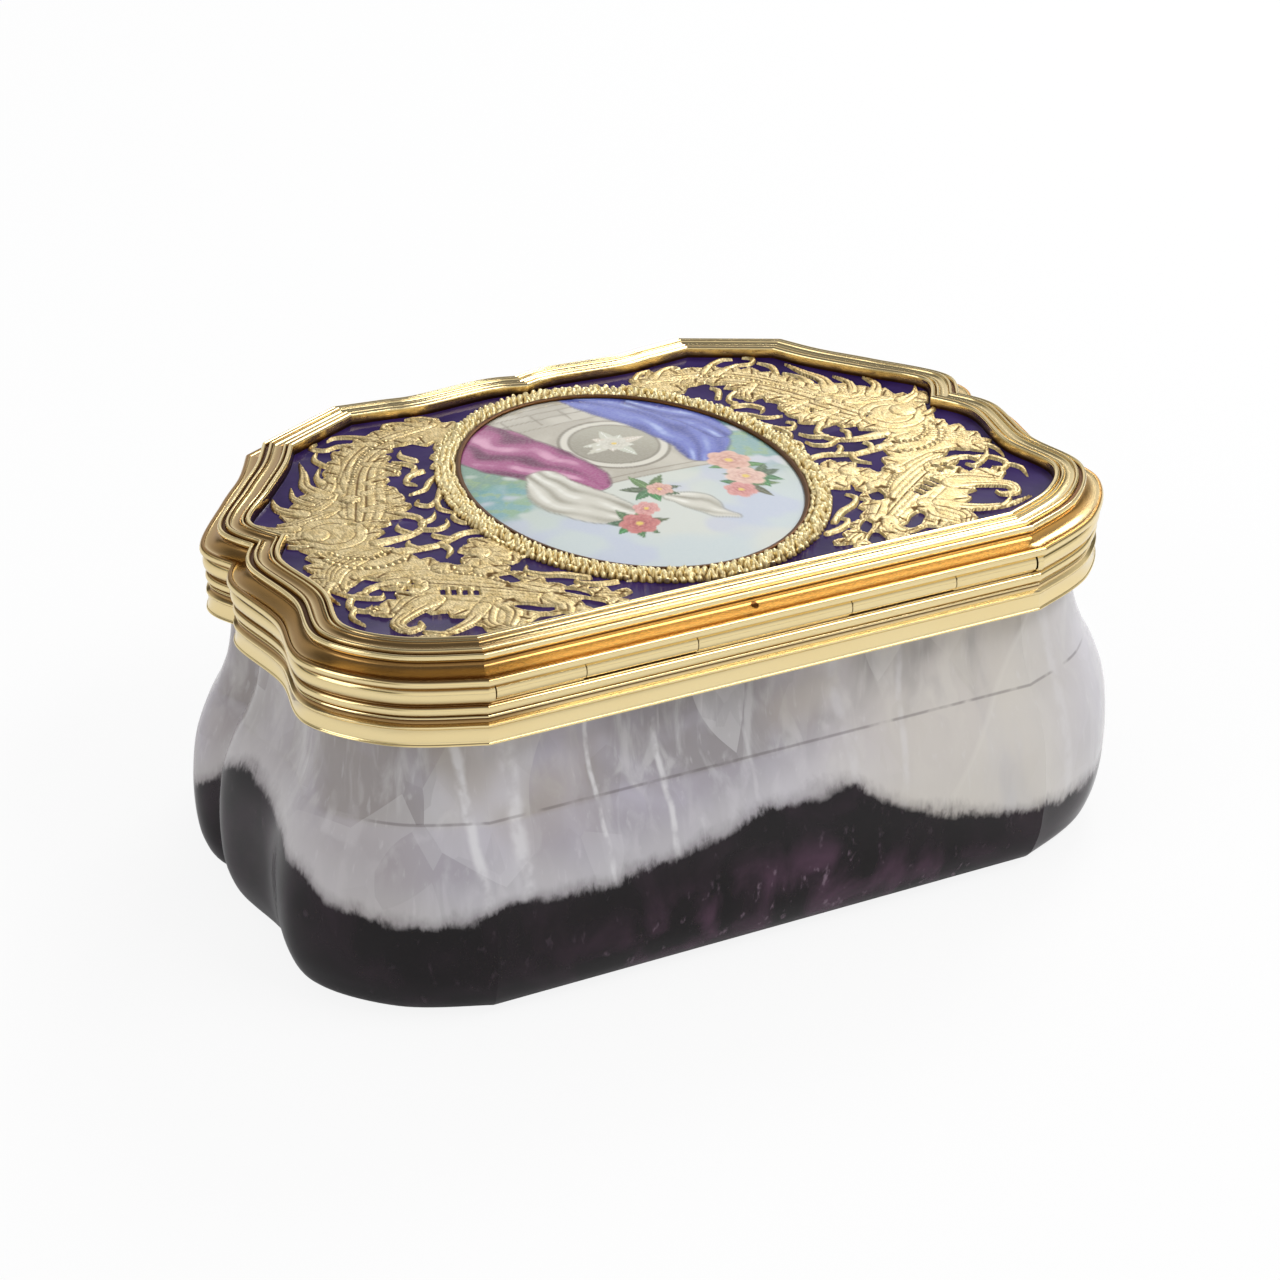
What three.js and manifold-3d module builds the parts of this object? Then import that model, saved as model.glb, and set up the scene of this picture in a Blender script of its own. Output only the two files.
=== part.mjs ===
// Snuff box: a bowl carved from banded fluorite, closed by a hinged gold lid set with enamel.
// Millimetres, +Z up. The hinge side faces -Y, and the origin is on the table under the middle.
import * as THREE from 'three';
import { mergeVertices } from 'three/addons/utils/BufferGeometryUtils.js';
import Module from 'manifold-3d';

const wasm = await Module();
wasm.setup();

// Cartouche outline, measured at the inner edge of the lid's frame. Lengths along Y run from
// the line through the two side notches.
const notchToBack = 24.4;
const notchToFront = 20.7;
const backHalf = 26.0;
const backChamferRun = 5.6;
const backChamferRise = 2.6;
const shoulderHalf = 34.9;
const shoulderRise = 6.8;
const waistHalf = 33.9;
const waistToNotch = 11.2;
const lobeHalf = 34.9;
const lobeToNotch = 4.1;
const notchHalf = 32.9;
const lobeTuck = 0.4;
const bayHalf = 27.1;
const bayToNotch = 13.6;
const baySag = 0.25;
const cornerHalf = 25.2;
const cornerDrop = 3.8;
const cornerRun = 7.4;
const frontDipHalf = 10.5;
const frontDip = 0.9;
const frontMiddleDrop = 0.4;
const frontNotch = 0.7;

// Heights
const boxHeight = 34.4;
const lidDepth = 2.5;
const lidGap = 0.1;
const mountDepth = 5.5;
const stoneInMount = 3.2;

// Stone bowl: how far it stands outside the outline at the neck, bulge and foot, and how high
const stoneNeck = 2.2;
const stoneBulge = 6.65;
const stoneFoot = -1.0;
const hipHeight = 3.2;
const bulgeHeight = 8.0;
const shoulderHeight = 14.2;
const arrisHeight = 18.5;
const stoneArris = 3.85;
const throatHeight = 21.2;
const footTurn = 0.65;
const hipTuck = 0.7;
const shoulderTuck = 0.55;
const throatTuck = 0.6;
const stoneWall = 3.7;
const stoneFloor = 4.0;
const cementGap = 0.3;
// Inside corner of the bowl: how far it draws in and rises above the floor, from wall to floor
const bowlFillet = [[0, 6.0], [1.0, 2.4], [3.4, 0]];

// Lid frame and what it holds
const lipReach = 3.0;
const lipDepth = 0.38;
const rollReach = 4.75;
const rollDepth = 2.15;
const lipSoft = 0.12;
const lipFace = 0.5;
const lipUndercut = 0.35;
const rollHalf = 0.3;
const frameWall = 0.9;
const flangeDepth = 1.5;
// Reeds of the frame as [reach, depth under the top], from the inner edge to the lip
const frameReeds = [
  [0, 0.25], [0.15, 0.03], [0.5, 0], [0.7, 0.26], [0.9, 0.1],
  [1.45, 0.38], [2.0, 0.18], [2.4, 0.26], [2.62, 0.62],
];
const plateThickness = 0.35;
const liningThickness = 0.25;
const enamelThickness = 0.3;
const fitGap = 0.3;

// Gold band round the neck. Its reeds are given as [how far they fall short of its widest bead,
// depth under its top], from the top edge to the skirt
const mountReach = 4.55;
const mountReeds = [
  [0.5, 0], [0.12, 0.3], [0, 0.9], [0.15, 1.5], [0.55, 1.72], [0.3, 1.9], [0.16, 2.3],
  [0.3, 2.75], [0.6, 2.95], [0.65, 3.5], [0.18, 3.66], [0.35, 4.5],
];
const skirtShort = 0.14;

// Inner lip of the body, which the lid closes over
const bezelWall = 0.8;
const bezelHeight = 0.45;
const bezelClearOfHinge = 10.2;

// Hinge
const hingeHalf = 26.3;
const hingeOut = 3.65;
const hingeDrop = 0.9;
const knuckleRadius = 0.85;
const pinRadius = 0.4;
const boreClearance = 0.05;
const knuckleGap = 0.1;
const troughClearance = 0.25;
const middleKnuckleHalf = 7.5;
const lidKnuckleEnd = 18.0;
const plugLength = 1.0;
const hingeSides = 16;

// Oval plaque and its wreath: half widths of what shows of the plaque
const ovalHalfX = 14.8;
const ovalHalfY = 18.8;
const plaqueEdge = 0.25;
const plaqueDome = 0.85;
const backingThickness = 0.25;
const colletWall = 0.25;
const colletGap = 0.1;
const colletLip = 0.3;
const colletHeight = 0.8;
const wreathWidth = 1.8;
const wreathLeafDepth = 0.3;
const wreathHeight = 1.25;
const wreathLeaves = 92;
const scrollThickness = 0.35;

// Heights and places that follow from the sizes above
const middleY = (notchToBack - notchToFront) / 2;
const backY = middleY - notchToBack;
const partingZ = boxHeight - lidDepth;
const mountTop = partingZ - lidGap;
const skirtBottom = mountTop - mountDepth;
const stoneTop = skirtBottom + stoneInMount;
const hingeY = backY - hingeOut;
const hingeZ = partingZ - hingeDrop;
const plateTop = boxHeight - flangeDepth;
const liningTop = plateTop - plateThickness;
const enamelTop = plateTop + enamelThickness;
const boreRadius = pinRadius + boreClearance;
const troughReach = knuckleRadius + troughClearance;
const bowlInside = stoneNeck - stoneWall;
const plateGrow = frameWall - fitGap;
const liningGrow = plateGrow - bezelWall - fitGap;
const wreathInner = colletGap + colletWall + 2 * colletGap;
const wreathOuter = wreathInner + wreathWidth;
const wreathSeat = wreathInner + wreathWidth / 2;

const gold = { color: 0xe6c577, roughness: 0.25, metalness: 1.0 };
const chasedGold = { color: 0xdcb765, roughness: 0.4, metalness: 1.0 };
const stone = { color: 0xa9a3ad, roughness: 0.15, metalness: 0.0 };
const violetEnamel = { color: 0x42366f, roughness: 0.15, metalness: 0.0 };
const paintedEnamel = { color: 0xd6dcd6, roughness: 0.12, metalness: 0.0 };
const copper = { color: 0xb87348, roughness: 0.4, metalness: 1.0 };

// Half of the outline from the back corner to the middle of the front. Each key gives a point,
// how many steps the curve takes to the next key, and whether the outline is creased there.
function halfOutline() {
  const y = (fromNotch) => middleY + fromNotch;
  const front = y(notchToFront);
  const facetEnd = cornerHalf - cornerRun;
  return [
    { x: backHalf, y: backY, steps: 2, crease: true },
    { x: backHalf + backChamferRun, y: backY + backChamferRise, steps: 3 },
    { x: shoulderHalf, y: backY + shoulderRise, steps: 3 },
    { x: waistHalf, y: y(-waistToNotch), steps: 3 },
    { x: lobeHalf, y: y(-lobeToNotch), steps: 2 },
    { x: notchHalf, y: y(0), steps: 2, crease: true },
    { x: lobeHalf - lobeTuck, y: y(lobeToNotch), steps: 2 },
    { x: (lobeHalf + bayHalf) / 2 - lobeTuck, y: y((lobeToNotch + bayToNotch) / 2 + baySag), steps: 2 },
    { x: bayHalf, y: y(bayToNotch), steps: 2 },
    { x: cornerHalf, y: front - cornerDrop, steps: 1, crease: true },
    { x: facetEnd, y: front, steps: 2, crease: true },
    { x: (facetEnd + frontDipHalf) / 2, y: front - frontDip / 2, steps: 2 },
    { x: frontDipHalf, y: front - frontDip, steps: 2 },
    { x: frontDipHalf / 3, y: front - frontMiddleDrop, steps: 1 },
    { x: 0, y: front - frontMiddleDrop - frontNotch, steps: 1, crease: true },
  ];
}

// The whole closed loop of keys, anticlockwise from the right back corner.
function outlineKeys() {
  const right = halfOutline();
  const last = right.length - 1;
  const left = right.slice(0, last).reverse().map((key, i) => ({
    ...key,
    x: -key.x,
    steps: i + 1 < last ? right[last - 2 - i].steps : 1,
  }));
  return [...right, ...left];
}

// Where each key goes when the outline grows by 1 mm: straight out, or along the mitre at a crease.
function outwardStep(keys, i) {
  const at = (k) => new THREE.Vector2(keys[k].x, keys[k].y);
  const count = keys.length;
  const before = at(i).sub(at((i + count - 1) % count)).normalize();
  const after = at((i + 1) % count).sub(at(i)).normalize();
  const normal = new THREE.Vector2(before.y + after.y, -before.x - after.x).normalize();
  const mitre = keys[i].crease ? 1 / normal.dot(new THREE.Vector2(before.y, -before.x)) : 1;
  return normal.multiplyScalar(mitre);
}

// The cartouche grown outwards by a distance, as a closed list of points.
function cartouche(grow) {
  const keys = outlineKeys();
  const moved = keys.map((key, i) => new THREE.Vector2(key.x, key.y)
    .addScaledVector(outwardStep(keys, i), grow));
  const points = [];
  let runStart = 0;
  for (let i = 1; i <= keys.length; i += 1) {
    const closes = i === keys.length;
    if (!closes && !keys[i].crease) continue;
    const run = moved.slice(runStart, i + 1);
    if (closes) run.push(moved[0]);
    const curve = new THREE.SplineCurve(run);
    for (let span = 0; span + 1 < run.length; span += 1) {
      const steps = keys[runStart + span].steps;
      for (let k = 0; k < steps; k += 1) {
        points.push(curve.getPoint((span + k / steps) / (run.length - 1)));
      }
    }
    runStart = i;
  }
  return points;
}

// The oval, grown outwards by a distance, in the direction of an angle from its middle.
function ovalPoint(angle, grow) {
  const a = ovalHalfX + grow;
  const b = ovalHalfY + grow;
  const reach = (a * b) / Math.hypot(b * Math.cos(angle), a * Math.sin(angle));
  return new THREE.Vector2(reach * Math.cos(angle), reach * Math.sin(angle));
}

function ovalLoop(grow, steps = 48) {
  return Array.from({ length: steps }, (_, i) => ovalPoint((i / steps) * 2 * Math.PI, grow));
}

function atHeight(loop, z) {
  return loop.map((point) => new THREE.Vector3(point.x, point.y, z));
}

// A closed surface through loops of equally many points. A ring's last loop joins its first;
// otherwise the first and last loops are closed with a fan to their middles.
function loft(loops, isRing) {
  const count = loops[0].length;
  const vertices = loops.flat();
  const faces = [];
  const bands = isRing ? loops.length : loops.length - 1;
  for (let j = 0; j < bands; j += 1) {
    const lower = j * count;
    const upper = ((j + 1) % loops.length) * count;
    for (let i = 0; i < count; i += 1) {
      const next = (i + 1) % count;
      faces.push([lower + i, lower + next, upper + next], [lower + i, upper + next, upper + i]);
    }
  }
  if (!isRing) {
    const fan = (loop, start, flip) => {
      const middle = loop.reduce((sum, point) => sum.add(point), new THREE.Vector3());
      vertices.push(middle.divideScalar(count));
      const centre = vertices.length - 1;
      for (let i = 0; i < count; i += 1) {
        const edge = [start + i, start + (i + 1) % count];
        faces.push(flip ? [centre, edge[1], edge[0]] : [centre, edge[0], edge[1]]);
      }
    };
    fan(loops[0], 0, true);
    fan(loops[loops.length - 1], (loops.length - 1) * count, false);
  }
  return facedOutwards(vertices, faces);
}

// A geometry whose triangles are turned round where they would enclose a negative volume.
function facedOutwards(vertices, faces) {
  const volume = faces.reduce((sum, [a, b, c]) => sum
    + vertices[a].dot(new THREE.Vector3().crossVectors(vertices[b], vertices[c])), 0);
  const turned = volume < 0 ? faces.map(([a, b, c]) => [a, c, b]) : faces;
  const geometry = new THREE.BufferGeometry();
  const positions = vertices.flatMap((vertex) => vertex.toArray());
  geometry.setAttribute('position', new THREE.Float32BufferAttribute(positions, 3));
  geometry.setIndex(turned.flat());
  return geometry;
}

// A moulding drawn as [outward distance, height] and carried right round the cartouche.
function moulding(profile) {
  return loft(profile.map(([grow, z]) => atHeight(cartouche(grow), z)), true);
}

function cartouchePlate(grow, bottom, top) {
  return loft([bottom, top].map((z) => atHeight(cartouche(grow), z)), false);
}

function solid(geometry) {
  const bare = geometry.clone();
  bare.deleteAttribute('normal');
  bare.deleteAttribute('uv');
  const merged = mergeVertices(bare);
  return new wasm.Manifold(new wasm.Mesh({
    numProp: 3,
    vertProperties: new Float32Array(merged.attributes.position.array),
    triVerts: new Uint32Array(merged.index.array),
  }));
}

function geometryOf(manifold) {
  const mesh = manifold.getMesh();
  const geometry = new THREE.BufferGeometry();
  geometry.setAttribute('position', new THREE.Float32BufferAttribute(mesh.vertProperties, 3));
  geometry.setIndex([...mesh.triVerts]);
  return geometry;
}

function block(x, y, z) {
  const geometry = new THREE.BoxGeometry(x[1] - x[0], y[1] - y[0], z[1] - z[0]);
  return geometry.translate((x[0] + x[1]) / 2, (y[0] + y[1]) / 2, (z[0] + z[1]) / 2);
}

// A rod along the hinge axis between two places on X.
function hingeRod(radius, from, to) {
  const rod = new THREE.CylinderGeometry(radius, radius, to - from, hingeSides);
  return rod.rotateZ(Math.PI / 2).translate((from + to) / 2, hingeY, hingeZ);
}

// Stone bowl: the section runs from the foot up the bombe side to the neck, over the top edge
// and down the inside to the floor.
function stoneBody() {
  const curved = (steps, ...points) => {
    const curve = new THREE.SplineCurve(points.map((point) => new THREE.Vector2(...point)));
    return curve.getPoints(steps).map((point) => [point.x, point.y]);
  };
  const belly = curved(
    9,
    [stoneFoot, 0],
    [stoneFoot + footTurn * (stoneBulge - stoneFoot), hipHeight / 8],
    [stoneBulge - hipTuck, hipHeight],
    [stoneBulge, bulgeHeight],
    [stoneBulge - shoulderTuck, shoulderHeight],
    [stoneArris, arrisHeight],
  );
  const throat = [stoneNeck + throatTuck, throatHeight];
  const neck = curved(4, [stoneArris, arrisHeight], throat, [stoneNeck, skirtBottom]);
  const inside = [
    [stoneNeck, stoneTop],
    [bowlInside, stoneTop],
    ...bowlFillet.map(([drawnIn, rise]) => [bowlInside - drawnIn, stoneFloor + rise]),
  ];
  const outside = [...belly, ...neck.slice(1)];
  return loft([...outside, ...inside].map(([grow, z]) => atHeight(cartouche(grow), z)), false);
}

// Gold band round the neck: a half-round bead under the lid, a second reed, the deep groove
// and the plain skirt that laps the stone. The back is cut down to seat the hinge.
function bodyMount() {
  const skirtInside = stoneNeck + cementGap;
  const band = solid(moulding([
    [bowlInside, mountTop],
    ...mountReeds.map(([short, depth]) => [mountReach - short, mountTop - depth]),
    [mountReach - skirtShort, skirtBottom],
    [skirtInside, skirtBottom],
    [skirtInside, stoneTop],
    [bowlInside, stoneTop],
  ]));
  const trough = block(
    [-hingeHalf - knuckleGap, hingeHalf + knuckleGap],
    [hingeY - 3 * knuckleRadius, hingeY + troughReach],
    [hingeZ - troughReach, mountTop + 1],
  );
  return geometryOf(band.subtract(solid(trough)));
}

// Upright inner lip on the front and the sides. It stops short of the hinge so that the lid
// swings clear of it.
function bezel() {
  const outer = plateGrow;
  const lip = solid(moulding([
    [outer, mountTop],
    [outer, mountTop + bezelHeight - 0.2],
    [outer - 0.2, mountTop + bezelHeight],
    [outer - bezelWall, mountTop + bezelHeight],
    [outer - bezelWall, mountTop],
  ]));
  const reach = 2 * shoulderHalf;
  const hingeSide = block(
    [-reach, reach],
    [-reach, hingeY + bezelClearOfHinge],
    [mountTop - 1, mountTop + bezelHeight + 1],
  );
  return geometryOf(lip.subtract(solid(hingeSide)));
}

// Lid frame: three reeds, the outer lip, the deep cove and the flaring roll. The flange at the
// inner edge holds the lid plate from above.
function lidFrame() {
  const down = (depth) => boxHeight - depth;
  return moulding([
    [0, down(flangeDepth)],
    ...frameReeds.map(([reach, depth]) => [reach, down(depth)]),
    [lipReach - lipSoft, down(lipDepth)],
    [lipReach, down(lipDepth + lipSoft)],
    [lipReach, down(lipDepth + lipFace)],
    [lipReach - lipUndercut, down(lipDepth + lipFace + lipUndercut)],
    [(lipReach + rollReach) / 2 - lipUndercut, down(rollDepth - rollHalf)],
    [rollReach - rollHalf, down(rollDepth - rollHalf)],
    [rollReach, down(rollDepth)],
    [rollReach - lipSoft, partingZ],
    [frameWall, partingZ],
    [frameWall, down(flangeDepth)],
  ]);
}

// Violet enamel between the frame's opening and the foot of the wreath.
function enamelGround() {
  const field = solid(cartouchePlate(-fitGap, plateTop, enamelTop));
  const oval = new THREE.Shape(ovalLoop(wreathSeat + fitGap));
  return geometryOf(field.subtract(solid(extruded(oval, plateTop - 1, enamelTop + 1))));
}

// Leaf border: each leaf rises to a tip, with a notch between it and the next. Its foot stands
// on the lid plate and its outer half lies on the enamel.
function wreath() {
  const stations = 2 * wreathLeaves;
  const loop = (grow, leaf) => Array.from({ length: stations }, (_, i) => {
    const isTip = i % 2 === 0;
    return ovalPoint((i / stations) * 2 * Math.PI, isTip ? grow : grow - leaf);
  });
  const crest = (z, drop) => (point, i) => new THREE.Vector3(point.x, point.y, i % 2 ? z - drop : z);
  const ridge = loop(wreathInner + wreathWidth * 0.55, 0);
  const brim = loop(wreathOuter, wreathLeafDepth);
  return loft([
    atHeight(loop(wreathInner, 0), plateTop),
    atHeight(loop(wreathSeat, 0), plateTop),
    atHeight(loop(wreathSeat, 0), enamelTop),
    atHeight(brim, enamelTop),
    ridge.map(crest(plateTop + wreathHeight, 0.2)),
    loop(wreathInner, 0).map(crest(plateTop + 0.8 * wreathHeight, 0.1)),
  ], true);
}

// Thin ring turned over the plaque's edge.
function collet() {
  const top = plateTop + colletHeight;
  const underLip = plateTop + backingThickness + plaqueEdge + colletGap;
  const sections = [
    [colletGap, plateTop],
    [colletGap + colletWall, plateTop],
    [colletGap + colletWall, top],
    [-colletLip / 2, top],
    [-colletLip / 2, underLip],
    [colletGap, underLip],
  ];
  return loft(sections.map(([grow, z]) => atHeight(ovalLoop(grow), z)), true);
}

function plaqueBacking() {
  return loft([plateTop, plateTop + backingThickness].map((z) => atHeight(ovalLoop(0), z)), false);
}

// Domed enamel plaque: the edge, then rings that climb a shallow dome.
function plaque() {
  const bottom = plateTop + backingThickness;
  const edge = bottom + plaqueEdge;
  const loops = [atHeight(ovalLoop(0), bottom), atHeight(ovalLoop(0), edge)];
  for (const share of [0.85, 0.65, 0.4, 0.15]) {
    const loop = ovalLoop(0).map((point) => point.multiplyScalar(share));
    loops.push(atHeight(loop, edge + plaqueDome * (1 - share * share)));
  }
  return loft(loops, false);
}

// Scrollwork, drawn on the right half for a field of the size given here and scaled to the real
// one. It fills the field beside the oval, apart from these windows.
const scrollDrawnHalf = 34.9;
const scrollDrawnDepth = 45.1;
const scrollWindows = [
  [[-1, 25], [-1, 17], [8.8, 18.2], [10.4, 19.6], [12.8, 20.4], [15.6, 20.2], [18.2, 19.4],
    [20.8, 17.8], [23, 15.6], [24.6, 13], [26, 11], [28.2, 10.2], [30, 8.2], [31.2, 6], [33, 4.8],
    [38, 6], [34, 18], [20, 26]],
  [[32.1, 3.2], [32.2, 0.8], [31.9, -1.6], [32.7, -3.6], [33.5, -6], [33, -8.2], [31.3, -8.3],
    [29.9, -7.2], [28.9, -8.1], [30.3, -9.6], [31.7, -10.6], [32.4, -12.4], [31.4, -14],
    [29.2, -14.5], [26.8, -15.2], [25, -17], [24.3, -19.2], [24, -23], [34, -24], [38, -8], [37, 3]],
  [[18.2, 7.3], [19.5, 4.8], [20.9, 2.7], [23.2, 1.5], [24.9, 0], [25.1, -2.4], [24.2, -4.6],
    [22.6, -6.6], [21.2, -8.3], [20, -7], [18.9, -5], [18.4, -1.6], [18.7, 1.6], [18.2, 4.2]],
  [[15.6, 15.4], [17, 14.8], [17.6, 13], [17.2, 11.2], [16.4, 12.2], [16.4, 13.8]],
  [[18, 10.6], [19.2, 10], [19.4, 8.6], [18.6, 8.2], [17.8, 9.2]],
  [[17.6, -9.4], [16.2, -12.2], [13.8, -15.8], [11.8, -18.2], [12.8, -18.4], [15, -15.9],
    [16.8, -13], [17.9, -10.6]],
  [[17.9, -12], [19, -11.9], [18.6, -13.7], [17.6, -13.4]],
  [[17.2, -19.1], [18.4, -18.2], [19.9, -17.3], [20, -18.1], [18.9, -19.3], [17.6, -19.8]],
  [[12.8, -24], [13, -20.4], [14.2, -19], [14.9, -19.3], [14.5, -20.8], [14.6, -24]],
  [[-1, -25], [-1, -18], [8.8, -18.6], [10.6, -19.4], [11.6, -20.8], [11.8, -25]],
];

// Tendrils that cross the windows, as ribbons given by [x, y, width].
const scrollTendrils = [
  [[18.6, 17.4, 1.2], [20.8, 18.4, 0.8], [22.4, 18.5, 0.6], [22.8, 19.6, 0.4]],
  [[26.4, 9.6, 1.6], [26.7, 12.2, 0.9], [25.8, 14.8, 0.6], [25.2, 16.6, 0.3]],
  [[29.8, 6.8, 1.6], [30.9, 8.8, 0.8], [30.3, 10.8, 0.4]],
  [[31.4, 4.4, 1.6], [33.4, 5.4, 0.8], [34.2, 6.4, 0.4]],
  [[27.6, -11.4, 1.4], [30, -10.8, 0.9], [31.6, -11.8, 0.8], [31.6, -13.4, 0.6], [30.4, -13.2, 0.5]],
  [[25.8, -14, 2.2], [28.6, -15.4, 1.6], [30.3, -16.7, 1.3], [29.7, -18, 1], [28.3, -17.5, 0.7]],
  [[24, -17.2, 1.4], [26.4, -18.7, 1.1], [29.8, -19.3, 0.8], [32, -18, 0.4]],
  [[17.6, -0.6, 0.9], [19.4, -2.8, 0.6], [20.7, -4.8, 0.6], [22.4, -7.4, 0.9]],
  [[19.4, 4.2, 1], [20.8, 1, 0.7], [22.8, -1.2, 0.7], [25.6, -1.6, 0.9]],
  [[21.9, -0.6, 0.7], [21.8, -3, 0.6], [23.2, -4.4, 0.6], [25, -4.2, 0.8]],
];
const windowSteps = 2;
const latticeCentre = [23.2, -13.2];
const latticeSlots = 4;
const latticePitch = 0.95;
const latticeSlot = [0.5, 1.3];
const latticeTurn = 0.5;
const flowerCentre = [26.6, -10.4];
const flowerReach = 0.62;
const flowerDot = [0.62, 0.36];

// A place of the drawn scrollwork on one side of the lid.
function scrollPlace(x, y, side) {
  const wide = (side * lobeHalf) / scrollDrawnHalf;
  return new THREE.Vector2(x * wide, (y * (notchToBack + notchToFront)) / scrollDrawnDepth);
}

function windowShape(places, side) {
  const edge = new THREE.SplineCurve([...places, places[0]].map(([x, y]) => scrollPlace(x, y, side)));
  return new THREE.Shape(edge.getPoints(windowSteps * places.length).slice(1));
}

// The outline of a ribbon whose width changes along its curve.
function ribbonShape(stroke, side) {
  const curve = new THREE.SplineCurve(stroke.map(([x, y]) => scrollPlace(x, y, side)));
  const spans = stroke.length - 1;
  const steps = spans * windowSteps;
  const left = [];
  const right = [];
  for (let i = 0; i <= steps; i += 1) {
    const t = i / steps;
    const span = Math.min(Math.floor(t * spans), spans - 1);
    const width = THREE.MathUtils.lerp(stroke[span][2], stroke[span + 1][2], t * spans - span);
    const along = curve.getTangent(t);
    const across = new THREE.Vector2(-along.y, along.x).multiplyScalar(width / 2);
    left.push(curve.getPoint(t).add(across));
    right.push(curve.getPoint(t).sub(across));
  }
  return new THREE.Shape([...left, ...right.reverse()]);
}

function extruded(shape, bottom, top) {
  const settings = { depth: top - bottom, bevelEnabled: false, curveSegments: 1 };
  return new THREE.ExtrudeGeometry(shape, settings).translate(0, 0, bottom);
}

// A small upright block for piercing, turned about its middle and moved to a place.
function piercing([wide, long], [x, y], turn) {
  const slot = new THREE.BoxGeometry(wide, long, 4 * scrollThickness);
  return solid(slot.rotateZ(turn).translate(x, y, enamelTop + scrollThickness));
}

// Openwork on one side of the oval: the field less its windows, the tendrils across them, and
// the pierced slots and flower.
function scrollwork(side) {
  const top = enamelTop + scrollThickness;
  const through = (shape) => solid(extruded(shape, enamelTop - 1, top + 1));
  const field = solid(cartouchePlate(-fitGap, enamelTop, top));
  const across = side > 0 ? [0, 2 * shoulderHalf] : [-2 * shoulderHalf, 0];
  const half = block(across, [backY, -backY], [enamelTop, top]);
  let work = field.intersect(solid(half));
  scrollWindows.forEach((places) => { work = work.subtract(through(windowShape(places, side))); });
  scrollTendrils.forEach((stroke) => {
    work = work.add(solid(extruded(ribbonShape(stroke, side), enamelTop, top)).intersect(field));
  });
  work = work.subtract(through(new THREE.Shape(ovalLoop(wreathOuter + fitGap))));
  for (let i = 0; i < latticeSlots; i += 1) {
    const shift = (i - (latticeSlots - 1) / 2) * latticePitch;
    const x = latticeCentre[0] + shift * Math.cos(latticeTurn);
    const y = latticeCentre[1] + shift * Math.sin(latticeTurn);
    const place = scrollPlace(x, y, side).toArray();
    work = work.subtract(piercing(latticeSlot, place, side * latticeTurn));
  }
  for (let i = 0; i < 4; i += 1) {
    const turn = Math.PI / 4 + (i * Math.PI) / 2;
    const x = flowerCentre[0] + flowerReach * Math.cos(turn);
    const y = flowerCentre[1] + flowerReach * Math.sin(turn);
    work = work.subtract(piercing(flowerDot, scrollPlace(x, y, side).toArray(), side * turn));
  }
  return geometryOf(largestPiece(work));
}

function largestPiece(manifold) {
  return manifold.decompose().reduce((best, piece) => (piece.volume() > best.volume() ? piece : best));
}

// Hinge knuckles. A body knuckle has a foot on the ledge and against the wall behind it;
// a lid knuckle has a web up to the underside of the lid frame.
function knuckle(from, to, isOnLid) {
  const x = [from + knuckleGap / 2, to - knuckleGap / 2];
  const barrel = solid(hingeRod(knuckleRadius, ...x));
  const web = isOnLid
    ? block(x, [hingeY - 0.5, hingeY + 0.5], [hingeZ, partingZ])
    : block(x, [hingeY - 0.3, hingeY + troughReach], [hingeZ - troughReach, hingeZ]);
  const bore = solid(hingeRod(boreRadius, from - 1, to + 1));
  return geometryOf(barrel.add(solid(web)).subtract(bore));
}

const box = new THREE.Group();
const lid = new THREE.Group();
lid.position.set(0, hingeY, hingeZ);
box.add(lid);

function addPiece(name, geometry, finish, isOnLid = false) {
  if (isOnLid) geometry.translate(0, -hingeY, -hingeZ);
  const mesh = new THREE.Mesh(geometry, new THREE.MeshStandardMaterial(finish));
  mesh.name = name;
  (isOnLid ? lid : box).add(mesh);
}

addPiece('stone_body', stoneBody(), stone);
addPiece('body_mount', bodyMount(), gold);
addPiece('bezel', bezel(), gold);
addPiece('body_knuckle_left', knuckle(-hingeHalf, -lidKnuckleEnd, false), gold);
addPiece('body_knuckle_middle', knuckle(-middleKnuckleHalf, middleKnuckleHalf, false), gold);
addPiece('body_knuckle_right', knuckle(lidKnuckleEnd, hingeHalf, false), gold);
const pinHalf = hingeHalf - plugLength - knuckleGap;
addPiece('hinge_pin', hingeRod(pinRadius, -pinHalf, pinHalf), gold);
addPiece('pin_plug_left', hingeRod(pinRadius, -hingeHalf, plugLength - hingeHalf), gold);
addPiece('pin_plug_right', hingeRod(pinRadius, hingeHalf - plugLength, hingeHalf), gold);

addPiece('lid_rim', lidFrame(), gold, true);
addPiece('lid_knuckle_left', knuckle(-lidKnuckleEnd, -middleKnuckleHalf, true), gold, true);
addPiece('lid_knuckle_right', knuckle(middleKnuckleHalf, lidKnuckleEnd, true), gold, true);
addPiece('lid_plate', cartouchePlate(plateGrow, liningTop, plateTop), gold, true);
addPiece('lid_lining', cartouchePlate(liningGrow, liningTop - liningThickness, liningTop), gold, true);
addPiece('enamel_ground', enamelGround(), violetEnamel, true);
addPiece('scroll_left', scrollwork(-1), chasedGold, true);
addPiece('scroll_right', scrollwork(1), chasedGold, true);
addPiece('wreath', wreath(), chasedGold, true);
addPiece('collet', collet(), gold, true);
addPiece('plaque_backing', plaqueBacking(), copper, true);
addPiece('plaque', plaque(), paintedEnamel, true);

export default box;
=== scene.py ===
"""A stone snuff box with moulded gold mounts and an enamelled, scroll-worked lid.

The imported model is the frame. Each class here makes or dresses one sub-assembly around it.
Inside the classes lengths are millimetres in the frame's axes: +X along the hinge, +Y from
the hinge side to the opening side, +Z up. They become metres where a mesh is made.
"""
import logging
import math
from dataclasses import dataclass
from enum import Enum
from typing import Sequence, Union

import bmesh
import bpy
import numpy as np
from mathutils import Matrix, Vector


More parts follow.
